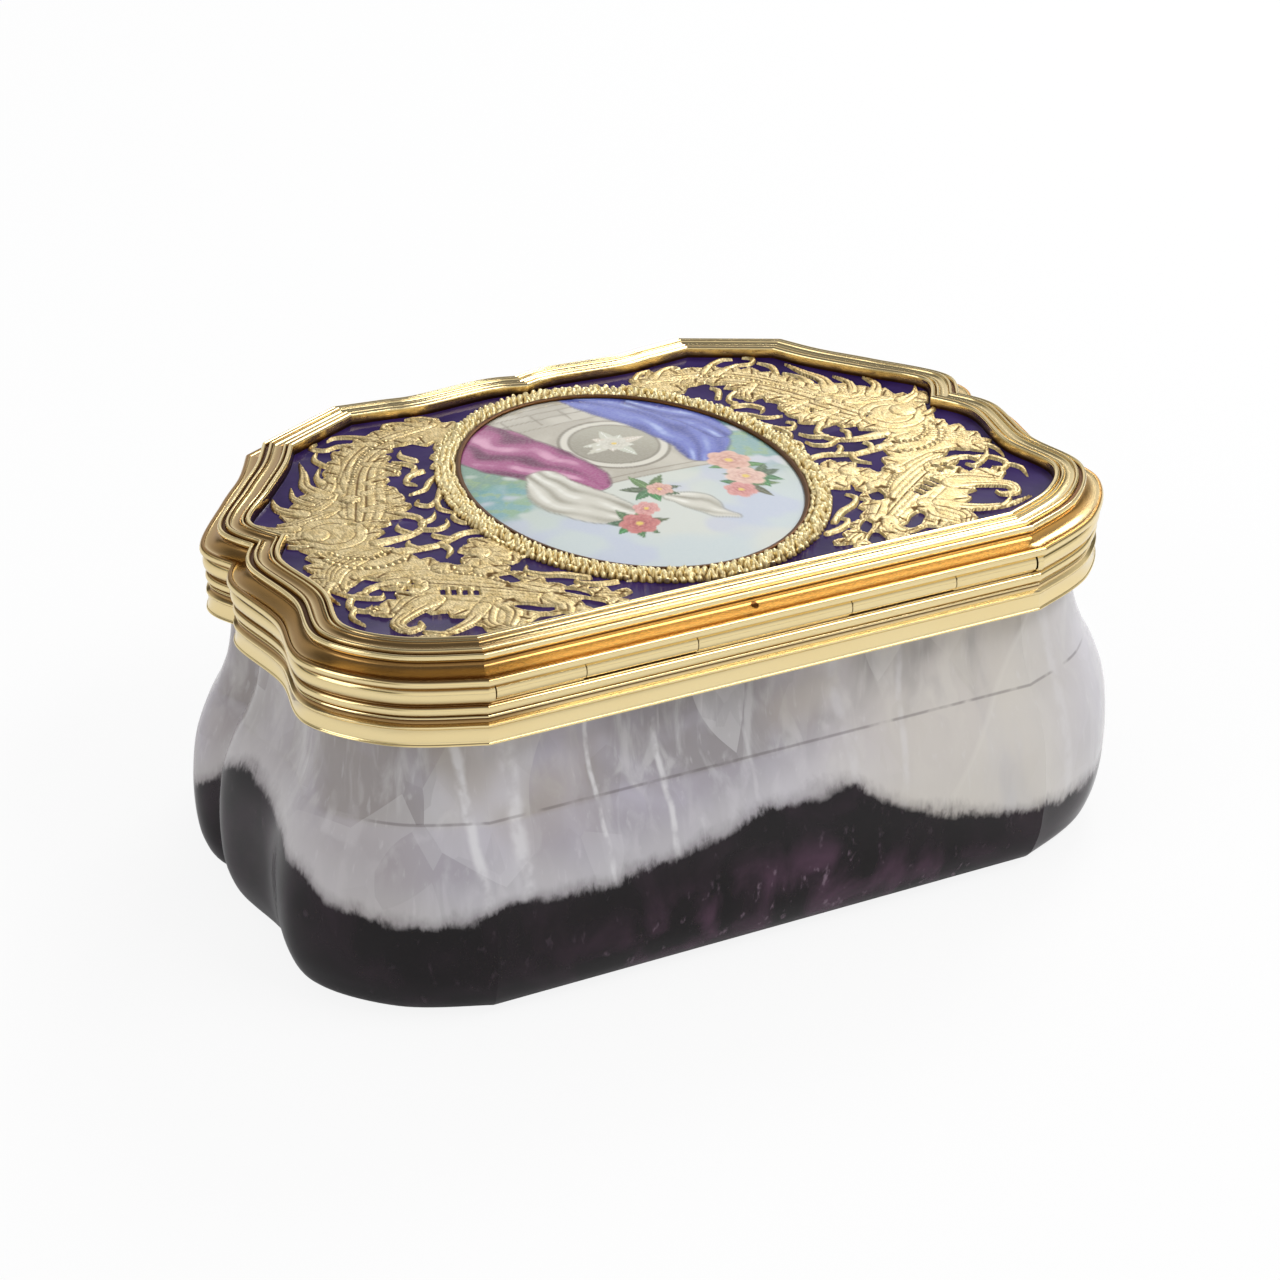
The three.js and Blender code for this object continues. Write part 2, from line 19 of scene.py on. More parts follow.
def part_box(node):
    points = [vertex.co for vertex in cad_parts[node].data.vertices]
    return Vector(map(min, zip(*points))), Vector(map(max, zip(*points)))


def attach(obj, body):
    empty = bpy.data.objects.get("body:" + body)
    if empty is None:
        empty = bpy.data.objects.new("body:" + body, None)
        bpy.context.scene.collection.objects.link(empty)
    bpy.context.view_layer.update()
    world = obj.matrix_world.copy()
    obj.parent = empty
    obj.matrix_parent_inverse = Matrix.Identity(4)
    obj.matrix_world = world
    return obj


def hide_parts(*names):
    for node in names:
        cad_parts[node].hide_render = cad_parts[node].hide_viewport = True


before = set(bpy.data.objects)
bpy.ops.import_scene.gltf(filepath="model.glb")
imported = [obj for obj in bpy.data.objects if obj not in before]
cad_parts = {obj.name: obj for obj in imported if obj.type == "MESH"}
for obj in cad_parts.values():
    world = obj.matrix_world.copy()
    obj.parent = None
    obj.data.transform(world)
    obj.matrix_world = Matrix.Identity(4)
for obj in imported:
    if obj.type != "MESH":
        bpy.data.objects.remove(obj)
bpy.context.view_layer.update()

LOG = logging.getLogger("snuff_box")
MM = 0.001

Array = np.ndarray
Piece = bpy.types.Object
Value = Union[float, "Signal"]
Colour = tuple[float, float, float]
WHITE: Colour = (1.0, 1.0, 1.0)


class Body(Enum):
    """The two bodies of the frame that a piece can ride on."""

    BOX = "box"
    LID = "lid"


# Shader maths


class Signal:
    """A value that varies over a surface. Arithmetic on it adds Math nodes."""

    def __init__(self, paint: "Paint", socket: bpy.types.NodeSocket) -> None:
        """Keeps the node tree and the socket that the value comes out of."""
        self.paint = paint
        self.socket = socket

    def _math(self, operation: str, *values: Value) -> "Signal":
        """Adds one Math node."""
        return self.paint.node("ShaderNodeMath", {"operation": operation}, dict(enumerate(values)))

    def __add__(self, other: Value) -> "Signal":
        """This value plus another."""
        return self._math("ADD", self, other)

    __radd__ = __add__

    def __sub__(self, other: Value) -> "Signal":
        """This value less another."""
        return self._math("SUBTRACT", self, other)

    def __rsub__(self, other: float) -> "Signal":
        """A number less this value."""
        return self._math("SUBTRACT", other, self)

    def __mul__(self, other: Value) -> "Signal":
        """This value times another."""
        return self._math("MULTIPLY", self, other)

    __rmul__ = __mul__

    def __abs__(self) -> "Signal":
        """The size of this value without its sign."""
        return self._math("ABSOLUTE", self)

    def greater(self, other: Value) -> "Signal":
        """The larger of two values."""
        return self._math("MAXIMUM", self, other)

    def rise(self, low: float, high: float) -> "Signal":
        """0 up to low and 1 from high, eased in between. High may be the lower number.

        Args:
            low: the value that gives 0.
            high: the value that gives 1.

        Returns:
            The eased share.
        """
        settings = {"interpolation_type": "SMOOTHSTEP"}
        ends = (low, high, 0.0, 1.0) if low < high else (high, low, 1.0, 0.0)
        values: dict = {0: self}
        values.update({place + 1: number for place, number in enumerate(ends)})
        return self.paint.node("ShaderNodeMapRange", settings, values)


class Paint:
    """A material or world being written: it adds nodes, sets their values and links them."""

    def __init__(self, home: Union[bpy.types.Material, bpy.types.World]) -> None:
        """Empties the node tree of the material or world."""
        self.home = home
        home.use_nodes = True
        self.tree = home.node_tree
        self.tree.nodes.clear()

    def node(self, kind: str, settings: dict, values: dict, out: Union[int, str] = 0) -> Signal:
        """Adds any node.

        Args:
            kind: the node's type.
            settings: its properties. "stops" fills a colour ramp and "curve" a float curve.
            values: numbers, colours or signals for its inputs, by place or by name.
            out: which output is wanted.

        Returns:
            That output.
        """
        made = self.tree.nodes.new(kind)
        for key, value in settings.items():
            if key == "stops":
                ramp = made.color_ramp
                while len(ramp.elements) < len(value):
                    ramp.elements.new(0.5)
                for element, (place, colour) in zip(ramp.elements, value):
                    element.position = place
                    element.color = (*colour, 1.0)
            elif key == "curve":
                points = made.mapping.curves[0].points
                while len(points) < len(value):
                    points.new(0.5, 0.5)
                for point, place in zip(points, value):
                    point.location = place
                made.mapping.update()
            else:
                setattr(made, key, value)
        for key, value in values.items():
            socket = made.inputs[key]
            if isinstance(value, Signal):
                self.tree.links.new(value.socket, socket)
            elif isinstance(value, tuple) and socket.type == "RGBA":
                socket.default_value = (*value, 1.0)
            else:
                socket.default_value = value
        return Signal(self, made.outputs[out])

    def place(self) -> Signal:
        """Object coordinates in millimetres."""
        place = self.node("ShaderNodeTexCoord", {}, {}, "Object")
        return self.node("ShaderNodeVectorMath", {"operation": "SCALE"}, {0: place, 3: 1 / MM})

    def axes(self, place: Signal) -> tuple[Signal, Signal, Signal]:
        """The three parts of a vector."""
        split = self.node("ShaderNodeSeparateXYZ", {}, {0: place})
        outputs = split.socket.node.outputs
        return Signal(self, outputs[0]), Signal(self, outputs[1]), Signal(self, outputs[2])

    def stretch(self, place: Signal, scale: Colour, turn: Colour = (0.0, 0.0, 0.0)) -> Signal:
        """A vector turned and scaled by a Mapping node."""
        values = {"Vector": place, "Rotation": turn, "Scale": scale}
        return self.node("ShaderNodeMapping", {}, values)

    def noise(self, place: Signal, per_mm: float, detail: float = 3.0, swirl: float = 0.0,
              roughness: float = 0.5) -> Signal:
        """Cloudy noise between 0 and 1.

        Args:
            place: where it is read, in millimetres.
            per_mm: how many clouds there are in a millimetre.
            detail: how many finer layers it has.
            swirl: how much it is pulled about by itself.
            roughness: how strong the finer layers are.

        Returns:
            The noise.
        """
        values = {"Vector": place, "Scale": per_mm, "Detail": detail, "Roughness": roughness,
                  "Distortion": swirl}
        return self.node("ShaderNodeTexNoise", {}, values)

    def cells(self, place: Signal, per_mm: float, out: str = "Distance") -> Signal:
        """Irregular cells: by default how far a place lies from the middle of its cell."""
        return self.node("ShaderNodeTexVoronoi", {}, {"Vector": place, "Scale": per_mm}, out)

    def patches(self, place: Signal, per_mm: float) -> Signal:
        """Irregular patches, each with one value between 0 and 1."""
        return self.node("ShaderNodeSeparateColor", {}, {0: self.cells(place, per_mm, "Color")})

    def laid(self, name: str, out: str = "Fac") -> Signal:
        """A value that the mesh itself carries."""
        return self.node("ShaderNodeAttribute", {"attribute_name": name}, {}, out)

    def mix(self, share: Signal, first: Union[Colour, Signal],
            second: Union[Colour, Signal]) -> Signal:
        """Two colours mixed: a share of 0 gives the first and 1 the second."""
        values = {0: share, 6: first, 7: second}
        return self.node("ShaderNodeMix", {"data_type": "RGBA"}, values, 2)

    def layers(self, base: Union[Colour, Signal],
               *layers: tuple[Signal, Union[Colour, Signal]]) -> Signal:
        """A base with colours laid over it one after another, each as strong as its share."""
        for share, colour in layers:
            base = self.mix(share, base, colour)
        return base

    def curve(self, value: Signal, points: Sequence[tuple]) -> Signal:
        """A value looked up in a smooth curve.

        Args:
            value: what is looked up.
            points: pairs of value and result, in order. The results lie between 0 and 100.

        Returns:
            The result.
        """
        start, end = points[0][0], points[-1][0]
        shares = [((x - start) / (end - start), y / 100) for x, y in points]
        share = self.node("ShaderNodeMapRange", {}, {0: value, 1: start, 2: end, 3: 0.0, 4: 1.0})
        return self.node("ShaderNodeFloatCurve", {"curve": shares}, {"Value": share}) * 100

    def relief(self, height: Signal, depth: float, onto: Union[Signal, None] = None) -> Signal:
        """A bump of the given depth in millimetres, over another bump if there is one."""
        values: dict = {"Height": height, "Distance": depth * MM, "Strength": 1.0}
        if onto is not None:
            values["Normal"] = onto
        return self.node("ShaderNodeBump", {}, values)

    def end(self, shader: Signal, kind: str = "ShaderNodeOutputMaterial") -> None:
        """Links a shader to an output of the given kind."""
        output = self.tree.nodes.new(kind)
        self.tree.links.new(shader.socket, output.inputs[0])


# Finishes


class Finish:
    """How a surface looks. Each kind has a name and says what goes into the shader."""

    name: str

    @property
    def title(self) -> str:
        """The material's name."""
        return "finish_" + self.name

    def inputs(self, paint: Paint, place: Signal) -> dict:
        """What goes into the Principled shader.

        Args:
            paint: the material being written.
            place: object coordinates in millimetres.

        Returns:
            The values of its inputs by name.
        """
        raise NotImplementedError(self.name)

    def material(self) -> bpy.types.Material:
        """Writes the material."""
        paint = Paint(bpy.data.materials.new(self.title))
        values = self.inputs(paint, paint.place())
        paint.end(paint.node("ShaderNodeBsdfPrincipled", {}, values))
        return paint.home


@dataclass(frozen=True)
class PolishedGold(Finish):
    """Burnished gold: fine rubbing marks, orange light in the coves and dark lines of grime and
    painted shade.
    """

    name: str = "polished_gold"
    colour: Colour = (0.87, 0.71, 0.38)
    warm: Colour = (0.84, 0.62, 0.27)
    glow: Colour = (0.8, 0.43, 0.11)
    hollow: Colour = (0.1, 0.042, 0.012)
    shadow: Colour = (0.34, 0.2, 0.07)
    smooth: float = 0.11
    rubbed: float = 0.15
    cove_low: float = 32.25
    cove_high: float = 33.55
    cove_fade: float = 0.3
    glow_elsewhere: float = 0.2
    shadow_from: float = -18.0
    shadow_full: float = -27.0
    shadow_share: float = 0.9
    dot: tuple[float, float, float] = (-1.37, -25.6, 32.82)
    dot_edge: tuple[float, float] = (0.2, 0.08)
    dirt_roughness: float = 0.25
    scratch_depth: float = 0.00015

    def inputs(self, paint: Paint, place: Signal) -> dict:
        """The shader's inputs: the dot is one punch mark on the hinge side's cove."""
        clouds = paint.noise(place, 0.1, 3.0)
        scratches = paint.noise(paint.stretch(place, (0.3, 0.3, 1.6)), 3.0, 3.0)
        recess = paint.laid("recess")
        x, y, z = paint.axes(place)
        cove = z.rise(self.cove_low, self.cove_low + self.cove_fade) \
            * z.rise(self.cove_high, self.cove_high - self.cove_fade)
        glow = cove * (1 - self.glow_elsewhere) + self.glow_elsewhere
        shadow = x.rise(self.shadow_from, self.shadow_full) * self.shadow_share
        away = [axis - middle for axis, middle in zip((x, y, z), self.dot)]
        square = away[0] * away[0] + away[1] * away[1] + away[2] * away[2]
        colour = paint.layers(
            self.colour,
            (clouds.rise(0.4, 0.7) * 0.15, self.warm),
            (recess.rise(0.12, 0.55) * glow, self.glow),
            (recess.rise(0.08, 0.34) * shadow, self.shadow),
            # Grime with painted shade in the deepest grooves.
            (recess.rise(0.42, 0.9), self.hollow),
            (square.rise(*self.dot_edge), self.hollow),
        )
        worn = scratches.rise(0.45, 0.75) * (self.rubbed - self.smooth)
        return {"Base Color": colour, "Metallic": 1.0,
                "Roughness": self.smooth + worn + recess * self.dirt_roughness,
                "Normal": paint.relief(scratches, self.scratch_depth)}


@dataclass(frozen=True)
class ChasedGold(Finish):
    """Chased gold: a grain of punch marks, grime and painted shade in its engraved lines, and
    burnished high places lightened with a painted highlight.
    """

    name: str = "chased_gold"
    colour: Colour = (0.78, 0.61, 0.29)
    bright: Colour = (0.91, 0.755, 0.42)
    hollow: Colour = (0.15, 0.078, 0.024)
    crest: Colour = (1.0, 0.86, 0.5)
    punch_per_mm: float = 4.6
    punch_depth: float = 0.018
    hatch_depth: float = 0.014
    grain_share: float = 0.42
    matt: float = 0.34

    def inputs(self, paint: Paint, place: Signal) -> dict:
        """The shader's inputs. The mesh's recess is 1 where grime and painted shade lie and below 0
        on crests, which get a painted highlight.
        """
        recess = paint.laid("recess")
        clouds = paint.noise(place, 0.9, 4.0)
        punched = paint.cells(place, self.punch_per_mm)
        hatched = paint.noise(paint.stretch(place, (4.0, 0.9, 0.9), (0.0, 0.0, 0.6)), 2.4, 3.0)
        grain = punched.rise(0.16, 0.3) * hatched.rise(0.42, 0.58)
        # Grime with painted shade where the recess share is high.
        grime_and_shade_share = recess.rise(0.0, 1.0)
        colour = paint.layers(
            self.colour, (clouds.rise(0.35, 0.65), self.bright),
            # Punch grain is dark, and crests take a painted highlight.
            (grain * self.grain_share, self.hollow), (recess.rise(0.0, -1.0), self.crest),
            (grime_and_shade_share, self.hollow),
        )
        bump = paint.relief(hatched, self.hatch_depth, paint.relief(punched, self.punch_depth))
        return {"Base Color": colour, "Metallic": 1.0, "Normal": bump,
                "Roughness": self.matt + punched.rise(0.1, 0.3) * 0.1 + grime_and_shade_share * 0.3}


@dataclass(frozen=True)
class VioletEnamel(Finish):
    """Deep violet-blue enamel under a clear glossy face."""

    name: str = "violet_enamel"
    deep: Colour = (0.019, 0.008, 0.058)
    light: Colour = (0.036, 0.018, 0.098)
    gloss: float = 0.12
    mirror: float = 0.09
    ripple: float = 0.03

    def inputs(self, paint: Paint, place: Signal) -> dict:
        """The shader's inputs."""
        clouds = paint.noise(place, 0.22, 4.0, 0.4)
        specks = paint.noise(place, 3.5, 2.0)
        colour = paint.layers(self.deep, (clouds.rise(0.3, 0.7), self.light),
                              (specks.rise(0.55, 0.8) * 0.3, self.light))
        return {"Base Color": colour, "Roughness": self.gloss, "Specular IOR Level": self.mirror,
                "Normal": paint.relief(paint.noise(place, 0.5, 2.0), self.ripple)}


@dataclass(frozen=True)
class Fluorite(Finish):
    """Cloudy lavender-grey stone above a feathered dark band, with pale upright veins."""

    name: str = "fluorite"
    grey: Colour = (0.29, 0.27, 0.278)
    pale: Colour = (0.61, 0.6, 0.605)
    lavender: Colour = (0.45, 0.425, 0.49)
    warm: Colour = (0.36, 0.32, 0.28)
    sunlit: Colour = (0.64, 0.6, 0.52)
    vein: Colour = (0.7, 0.69, 0.7)
    fringe: Colour = (0.11, 0.088, 0.094)
    dark: Colour = (0.007, 0.005, 0.006)
    purple: Colour = (0.085, 0.04, 0.07)
    glint: Colour = (0.26, 0.18, 0.235)
    arris: float = 18.5
    facet_x: float = 17.5
    facet_z: float = 10.6
    facet_lean: float = 0.7
    gloss: float = 0.06
    bending: float = 1.43
    mirror: float = 0.32
    ripple: float = 0.1
    band_by_x: tuple = (
        (-42.0, 9.6), (-38.0, 10.1), (-29.4, 10.4), (-26.0, 11.8), (-21.0, 11.2), (-17.6, 11.0),
        (-9.9, 12.0), (-1.9, 13.7), (4.1, 14.4), (6.7, 14.5), (9.1, 13.1), (12.2, 11.3),
        (16.4, 9.3), (20.7, 8.1), (26.7, 6.8), (35.3, 6.5), (42.0, 7.5),
    )
    rise_by_y: tuple = (
        (-28.0, 0.0), (-22.0, 0.8), (-17.0, 3.4), (-10.0, 4.8), (-3.0, 5.6), (1.0, 3.2),
        (5.0, 0.0), (14.0, 1.5), (22.0, 0.4), (28.0, 1.2),
    )
    vein_rows: tuple = (
        (-16.7, 0.05, 0.34, 0.75), (-10.4, 0.03, 0.46, 0.75), (-24.4, 0.02, 1.1, 0.6),
        (-28.3, 0.02, 0.6, 0.7), (-2.0, 0.06, 0.3, 0.25), (7.5, 0.05, 0.7, 0.3),
        (13.2, -0.06, 0.5, 0.35), (30.0, 0.1, 0.9, 0.3),
    )

    def edge_of_band(self, paint: Paint, place: Signal) -> Signal:
        """How high the dark band reaches at a place.

        Args:
            paint: the material being written.
            place: object coordinates in millimetres.

        Returns:
            The height in millimetres. On the ends the band also rises and falls along Y.
        """
        x, y, _ = paint.axes(place)
        along = paint.curve(x, self.band_by_x)
        beside = paint.curve(y, self.rise_by_y)
        return along + beside * x.rise(-31.0, -39.0) + beside * x.rise(31.0, 39.0) * 0.6

    def veins(self, paint: Paint, place: Signal) -> Signal:
        """The pale upright veins. Each row has a place along X, a lean, a width and a strength.

        Args:
            paint: the material being written.
            place: object coordinates in millimetres.

        Returns:
            How much of them shows at the place.
        """
        x, _, z = paint.axes(place)
        sway = paint.noise(place, 0.14, 3.0) - 0.5
        wobble = paint.noise(paint.stretch(place, (1.0, 1.0, 0.7)), 0.8, 2.0)
        total: Union[Signal, None] = None
        for at, lean, width, strength in self.vein_rows:
            away = abs(x - at + (z - 18.0) * lean + sway * 1.6) * (0.55 + wobble * 0.9)
            vein = away.rise(width, width * 0.2) * strength
            total = vein if total is None else total.greater(vein)
        fine = paint.noise(paint.stretch(place, (1.9, 1.9, 0.13)), 0.9, 4.0)
        broken = paint.noise(paint.stretch(place, (0.6, 0.6, 0.5)), 0.9, 3.0).rise(0.3, 0.58)
        return (total * broken).greater(fine.rise(0.6, 0.76) * 0.2)

    def upper(self, paint: Paint, place: Signal) -> Signal:
        """The stone above the dark band: clouds, cleavage patches, the arris with a painted shade
        line, paler stone below it that is partly painted light, and the veins.

        Args:
            paint: the material being written.
            place: object coordinates in millimetres.

        Returns:
            Its colour.
        """
        x, y, z = paint.axes(place)
        clouds = paint.noise(paint.stretch(place, (1.0, 1.0, 0.55)), 0.08, 4.0, 0.8)
        patches = paint.patches(paint.stretch(place, (1.0, 1.0, 0.5), (0.0, 0.12, 0.0)), 0.13)
        shards = paint.patches(paint.stretch(place, (1.0, 1.0, 0.62), (0.0, -0.1, 0.3)), 0.34)
        mist = paint.noise(paint.stretch(place, (1.5, 1.5, 0.35)), 0.35, 4.0, 0.6)
        below = z.rise(self.arris, self.arris - 0.5) * z.rise(9.5, 13.0)
        low = self.edge_of_band(paint, place) - z
        slope = x - (z - self.facet_z) * self.facet_lean
        facet = slope.rise(self.facet_x - 0.2, self.facet_x + 0.2) * y.rise(-10.0, -20.0)
        sunlit = x.rise(-2.0, 16.0) * x.rise(38.0, 24.0) * clouds.rise(0.26, 0.6)
        line = abs(z - self.arris).rise(0.17, 0.05) * paint.noise(place, 0.5, 2.0).rise(0.3, 0.55)
        return paint.layers(
            self.grey,
            (clouds.rise(0.38, 0.62), self.lavender),
            (patches.rise(0.35, 0.95) * 0.55, self.pale),
            (shards.rise(0.5, 0.95) * 0.35, self.grey),
            (mist.rise(0.46, 0.7) * 0.5, self.pale),
            (paint.noise(place, 0.07, 2.0).rise(0.56, 0.75) * 0.7, self.warm),
            # Paler lavender below the arris: partly the stone's colour, partly painted light on the
            # bulge.
            (below * 0.42, self.lavender),
            (low.rise(-5.0, -1.0) * 0.45, self.pale),
            (facet * 0.5, self.pale),
            (abs(slope - self.facet_x).rise(0.5, 0.1) * 0.35, self.vein),
            (x.rise(-30.0, -36.0) * 0.3, self.warm),
            (sunlit * 0.7, self.sunlit),
            (self.veins(paint, place), self.vein),
            # Painted shade along the arris crease.
            (line * 0.45 * y.rise(-20.0, -23.0), self.fringe),
        )

    def lower(self, paint: Paint, place: Signal, depth: Signal) -> Signal:
        """The dark band, which is purple deep down near the middle.

        Args:
            paint: the material being written.
            place: object coordinates in millimetres.
            depth: how far below the band's edge the place is.

        Returns:
            Its colour.
        """
        x, _, _ = paint.axes(place)
        mauve = paint.noise(paint.stretch(place, (1.0, 1.0, 0.7)), 0.17, 5.0, 0.5)
        deep = depth.rise(2.5, 7.5) * x.rise(-24.0, -6.0) * x.rise(30.0, 18.0)
        flecks = paint.noise(paint.stretch(place, (1.8, 1.8, 0.9), (0.0, 0.5, 0.0)), 0.7, 5.0)
        return paint.layers(
            self.dark, (mauve.rise(0.4, 0.66) * (0.15 + deep * 0.85), self.purple),
            (flecks.rise(0.6, 0.78) * (0.1 + deep * 0.6), self.glint),
        )

    def inputs(self, paint: Paint, place: Signal) -> dict:
        """The shader's inputs."""
        z = paint.axes(place)[2]
        fine = paint.noise(paint.stretch(place, (2.1, 2.1, 0.75)), 1.0, 6.0, 0.3, 0.62)
        slow = paint.noise(place, 0.3, 4.0)
        ragged = (fine - 0.5) * 1.5 * slow.rise(0.2, 0.6) + (slow - 0.5) * 2.6
        depth = self.edge_of_band(paint, place) + ragged - z
        colour = paint.layers(
            self.upper(paint, place), (depth.rise(-1.5, 0.2) * 0.5, self.fringe),
            (depth.rise(-0.45, 0.5), self.lower(paint, place, depth)),
        )
        return {"Base Color": colour, "Roughness": self.gloss + slow * 0.05,
                "IOR": self.bending, "Specular IOR Level": self.mirror,
                "Normal": paint.relief(paint.noise(place, 0.12, 2.0), self.ripple)}


@dataclass(frozen=True)
class PaintedEnamel(Finish):
    """Painted enamel: the colours laid on the piece itself, under a glossy face."""

    name: str = "painted_enamel"
    bloom: Colour = (0.72, 0.73, 0.7)
    gloss: float = 0.1
    bending: float = 1.45
    grain_depth: float = 0.006

    def inputs(self, paint: Paint, place: Signal) -> dict:
        """The shader's inputs."""
        grain = paint.noise(place, 4.0, 3.0)
        colour = paint.mix(grain.rise(0.3, 0.8) * 0.1, paint.laid("picture", "Color"), self.bloom)
        return {"Base Color": colour, "Roughness": self.gloss, "IOR": self.bending,
                "Normal": paint.relief(grain, self.grain_depth)}


@dataclass(frozen=True)
class CopperSheet(Finish):
    """Plain hammered copper."""

    name: str = "copper"
    fresh: Colour = (0.6, 0.28, 0.16)
    dull: Colour = (0.42, 0.17, 0.09)
    hammer_depth: float = 0.05

    def inputs(self, paint: Paint, place: Signal) -> dict:
        """The shader's inputs."""
        clouds = paint.noise(place, 0.4, 3.0)
        return {"Base Color": paint.mix(clouds, self.fresh, self.dull), "Metallic": 1.0,
                "Roughness": 0.3 + clouds * 0.2,
                "Normal": paint.relief(clouds, self.hammer_depth)}


class Slot(Enum):
    """The material slots, each with the finish that dresses it."""

    GOLD = PolishedGold()
    CHASED = ChasedGold()
    VIOLET = VioletEnamel()
    STONE = Fluorite()
    PICTURE = PaintedEnamel()
    COPPER = CopperSheet()

    def dress(self, piece: Piece) -> None:
        """Puts the finish on a piece, in place of any that it had."""
        material = bpy.data.materials.get(self.value.title) or self.value.material()
        piece.data.materials.clear()
        piece.data.materials.append(material)


# Modelling steps


def deselect() -> None:
    """Leaves no object selected."""
    for item in list(bpy.context.selected_objects):
        item.select_set(False)


def only(piece: Piece) -> None:
    """Makes one object the only selected one and the active one."""
    deselect()
    piece.select_set(True)
    bpy.context.view_layer.objects.active = piece


def set_places(piece: Piece, places: Array) -> None:
    """Moves all of a mesh's vertices to places in millimetres."""
    piece.data.vertices.foreach_set("co", (np.asarray(places) * MM).ravel())
    piece.data.update()


def get_places(piece: Piece) -> Array:
    """All of a mesh's vertices in millimetres."""
    flat = np.empty(len(piece.data.vertices) * 3)
    piece.data.vertices.foreach_get("co", flat)
    return flat.reshape(-1, 3) / MM


def per_vertex(piece: Piece, name: str) -> Array:
    """A whole number that each of a mesh's vertices carries."""
    found = np.empty(len(piece.data.vertices), dtype=np.int32)
    piece.data.attributes[name].data.foreach_get("value", found)
    return found


def carry(piece: Piece, name: str, values: Array) -> None:
    """Gives each of a mesh's vertices a value of its own."""
    made = piece.data.attributes.new(name, "FLOAT", "POINT")
    made.data.foreach_set("value", np.asarray(values, dtype=np.float32))


def edit(action: str = "SELECT") -> None:
    """Enters edit mode with all selected, or with nothing on DESELECT."""
    bpy.ops.object.mode_set(mode="EDIT")
    bpy.ops.mesh.select_all(action=action)


def leave_edit() -> None:
    """Turns all faces outwards and leaves edit mode."""
    bpy.ops.mesh.normals_make_consistent(inside=False)
    bpy.ops.object.mode_set(mode="OBJECT")


def at_height(loop: Array, z: float) -> Array:
    """A flat loop lifted to a height."""
    return np.column_stack([loop, np.full(len(loop), z)])


def sweep(name: str, loops: Sequence[Array], ring: bool) -> Piece:
    """Extrudes a loop from section to section.

    Each vertex keeps its station along the loop and the number of its section.

    Args:
        name: the piece's name.
        loops: the places of each section's loop, all with as many points.
        ring: whether the last section joins the first. Otherwise both ends are closed.

    Returns:
        The piece, facing outwards.
    """
    deselect()
    bpy.ops.mesh.primitive_circle_add(vertices=len(loops[0]), radius=1.0)
    piece = bpy.context.object
    piece.name = piece.data.name = name
    set_places(piece, loops[0])
    stations = piece.data.attributes.new("station", "INT", "POINT")
    stations.data.foreach_set("value", np.arange(len(loops[0])))
    piece.data.attributes.new("section", "INT", "POINT")
    edit()
    if not ring:
        bpy.ops.mesh.edge_face_add()
    extrude = bpy.ops.mesh.extrude_edges_move if ring else bpy.ops.mesh.extrude_region_move
    for number, loop in enumerate([*loops[1:], loops[0]] if ring else loops[1:], start=1):
        extrude()
        mesh = bmesh.from_edit_mesh(piece.data)
        station = mesh.verts.layers.int["station"]
        section = mesh.verts.layers.int["section"]
        places = (loop * MM).tolist()
        for vertex in mesh.verts:
            if vertex.select:
                vertex.co = places[vertex[station]]
                vertex[section] = number % len(loops)
        bmesh.update_edit_mesh(piece.data)
    bpy.ops.mesh.select_all(action="SELECT")
    if ring:
        bpy.ops.mesh.remove_doubles(threshold=1e-7)
    leave_edit()
    return piece


def mark(piece: Piece, name: str, table: Array) -> None:
    """Gives a swept piece a named value.

    Args:
        piece: a piece made by sweep.
        name: the value's name.
        table: the value by section, or by section and station.
    """
    section, station = per_vertex(piece, "section"), per_vertex(piece, "station")
    carry(piece, name, table[section] if table.ndim == 1 else table[section, station])


def smooth(piece: Piece, degrees: float, creases: Sequence[int] = ()) -> None:
    """Shades a piece smooth apart from its sharp edges.

    Args:
        piece: the piece.
        degrees: edges sharper than this stay sharp.
        creases: stations whose edges from section to section stay sharp too.
    """
    only(piece)
    bpy.ops.object.shade_smooth_by_angle(angle=math.radians(degrees))
    if not creases:
        return
    mesh = piece.data
    ends = np.empty(len(mesh.edges) * 2, dtype=np.int32)
    mesh.edges.foreach_get("vertices", ends)
    first, second = per_vertex(piece, "station")[ends].reshape(-1, 2).T
    sharp = np.empty(len(mesh.edges), dtype=bool)
    mesh.edges.foreach_get("use_edge_sharp", sharp)
    sharp |= (first == second) & np.isin(first, list(creases))
    mesh.edges.foreach_set("use_edge_sharp", sharp)


def cut(piece: Piece, low: Colour, high: Colour) -> None:
    """Cuts a box out of a piece with an applied Boolean modifier.

    Args:
        piece: what is cut.
        low: the box's lowest corner in millimetres.
        high: its highest corner.
    """
    deselect()
    middle = [(a + b) / 2 * MM for a, b in zip(low, high)]
    size = [(b - a) * MM for a, b in zip(low, high)]
    bpy.ops.mesh.primitive_cube_add(size=1.0, location=middle, scale=size)
    tool = bpy.context.object
    only(piece)
    modifier = piece.modifiers.new("cut", "BOOLEAN")
    modifier.operation = "DIFFERENCE"
    modifier.solver = "EXACT"
    modifier.object = tool
    bpy.ops.object.modifier_apply(modifier=modifier.name)
    bpy.data.objects.remove(tool, do_unlink=True)


def finish(piece: Piece, body: Body, slot: Slot, *nodes: str) -> None:
    """Dresses a piece and tells the frame about it.

    Args:
        piece: the finished mesh.
        body: the body that it moves with.
        slot: the material slot that it is dressed from.
        nodes: the CAD nodes that it stands for.
    """
    slot.dress(piece)
    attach(piece, body.value)
    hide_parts(*nodes)
    LOG.info("%s: %d faces, on %s", piece.name, len(piece.data.polygons), body.value)


# What the frame sets


def corners(node: str) -> tuple[Vector, Vector]:
    """A CAD node's lowest and highest corners in millimetres."""
    low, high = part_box(node)
    return low / MM, high / MM


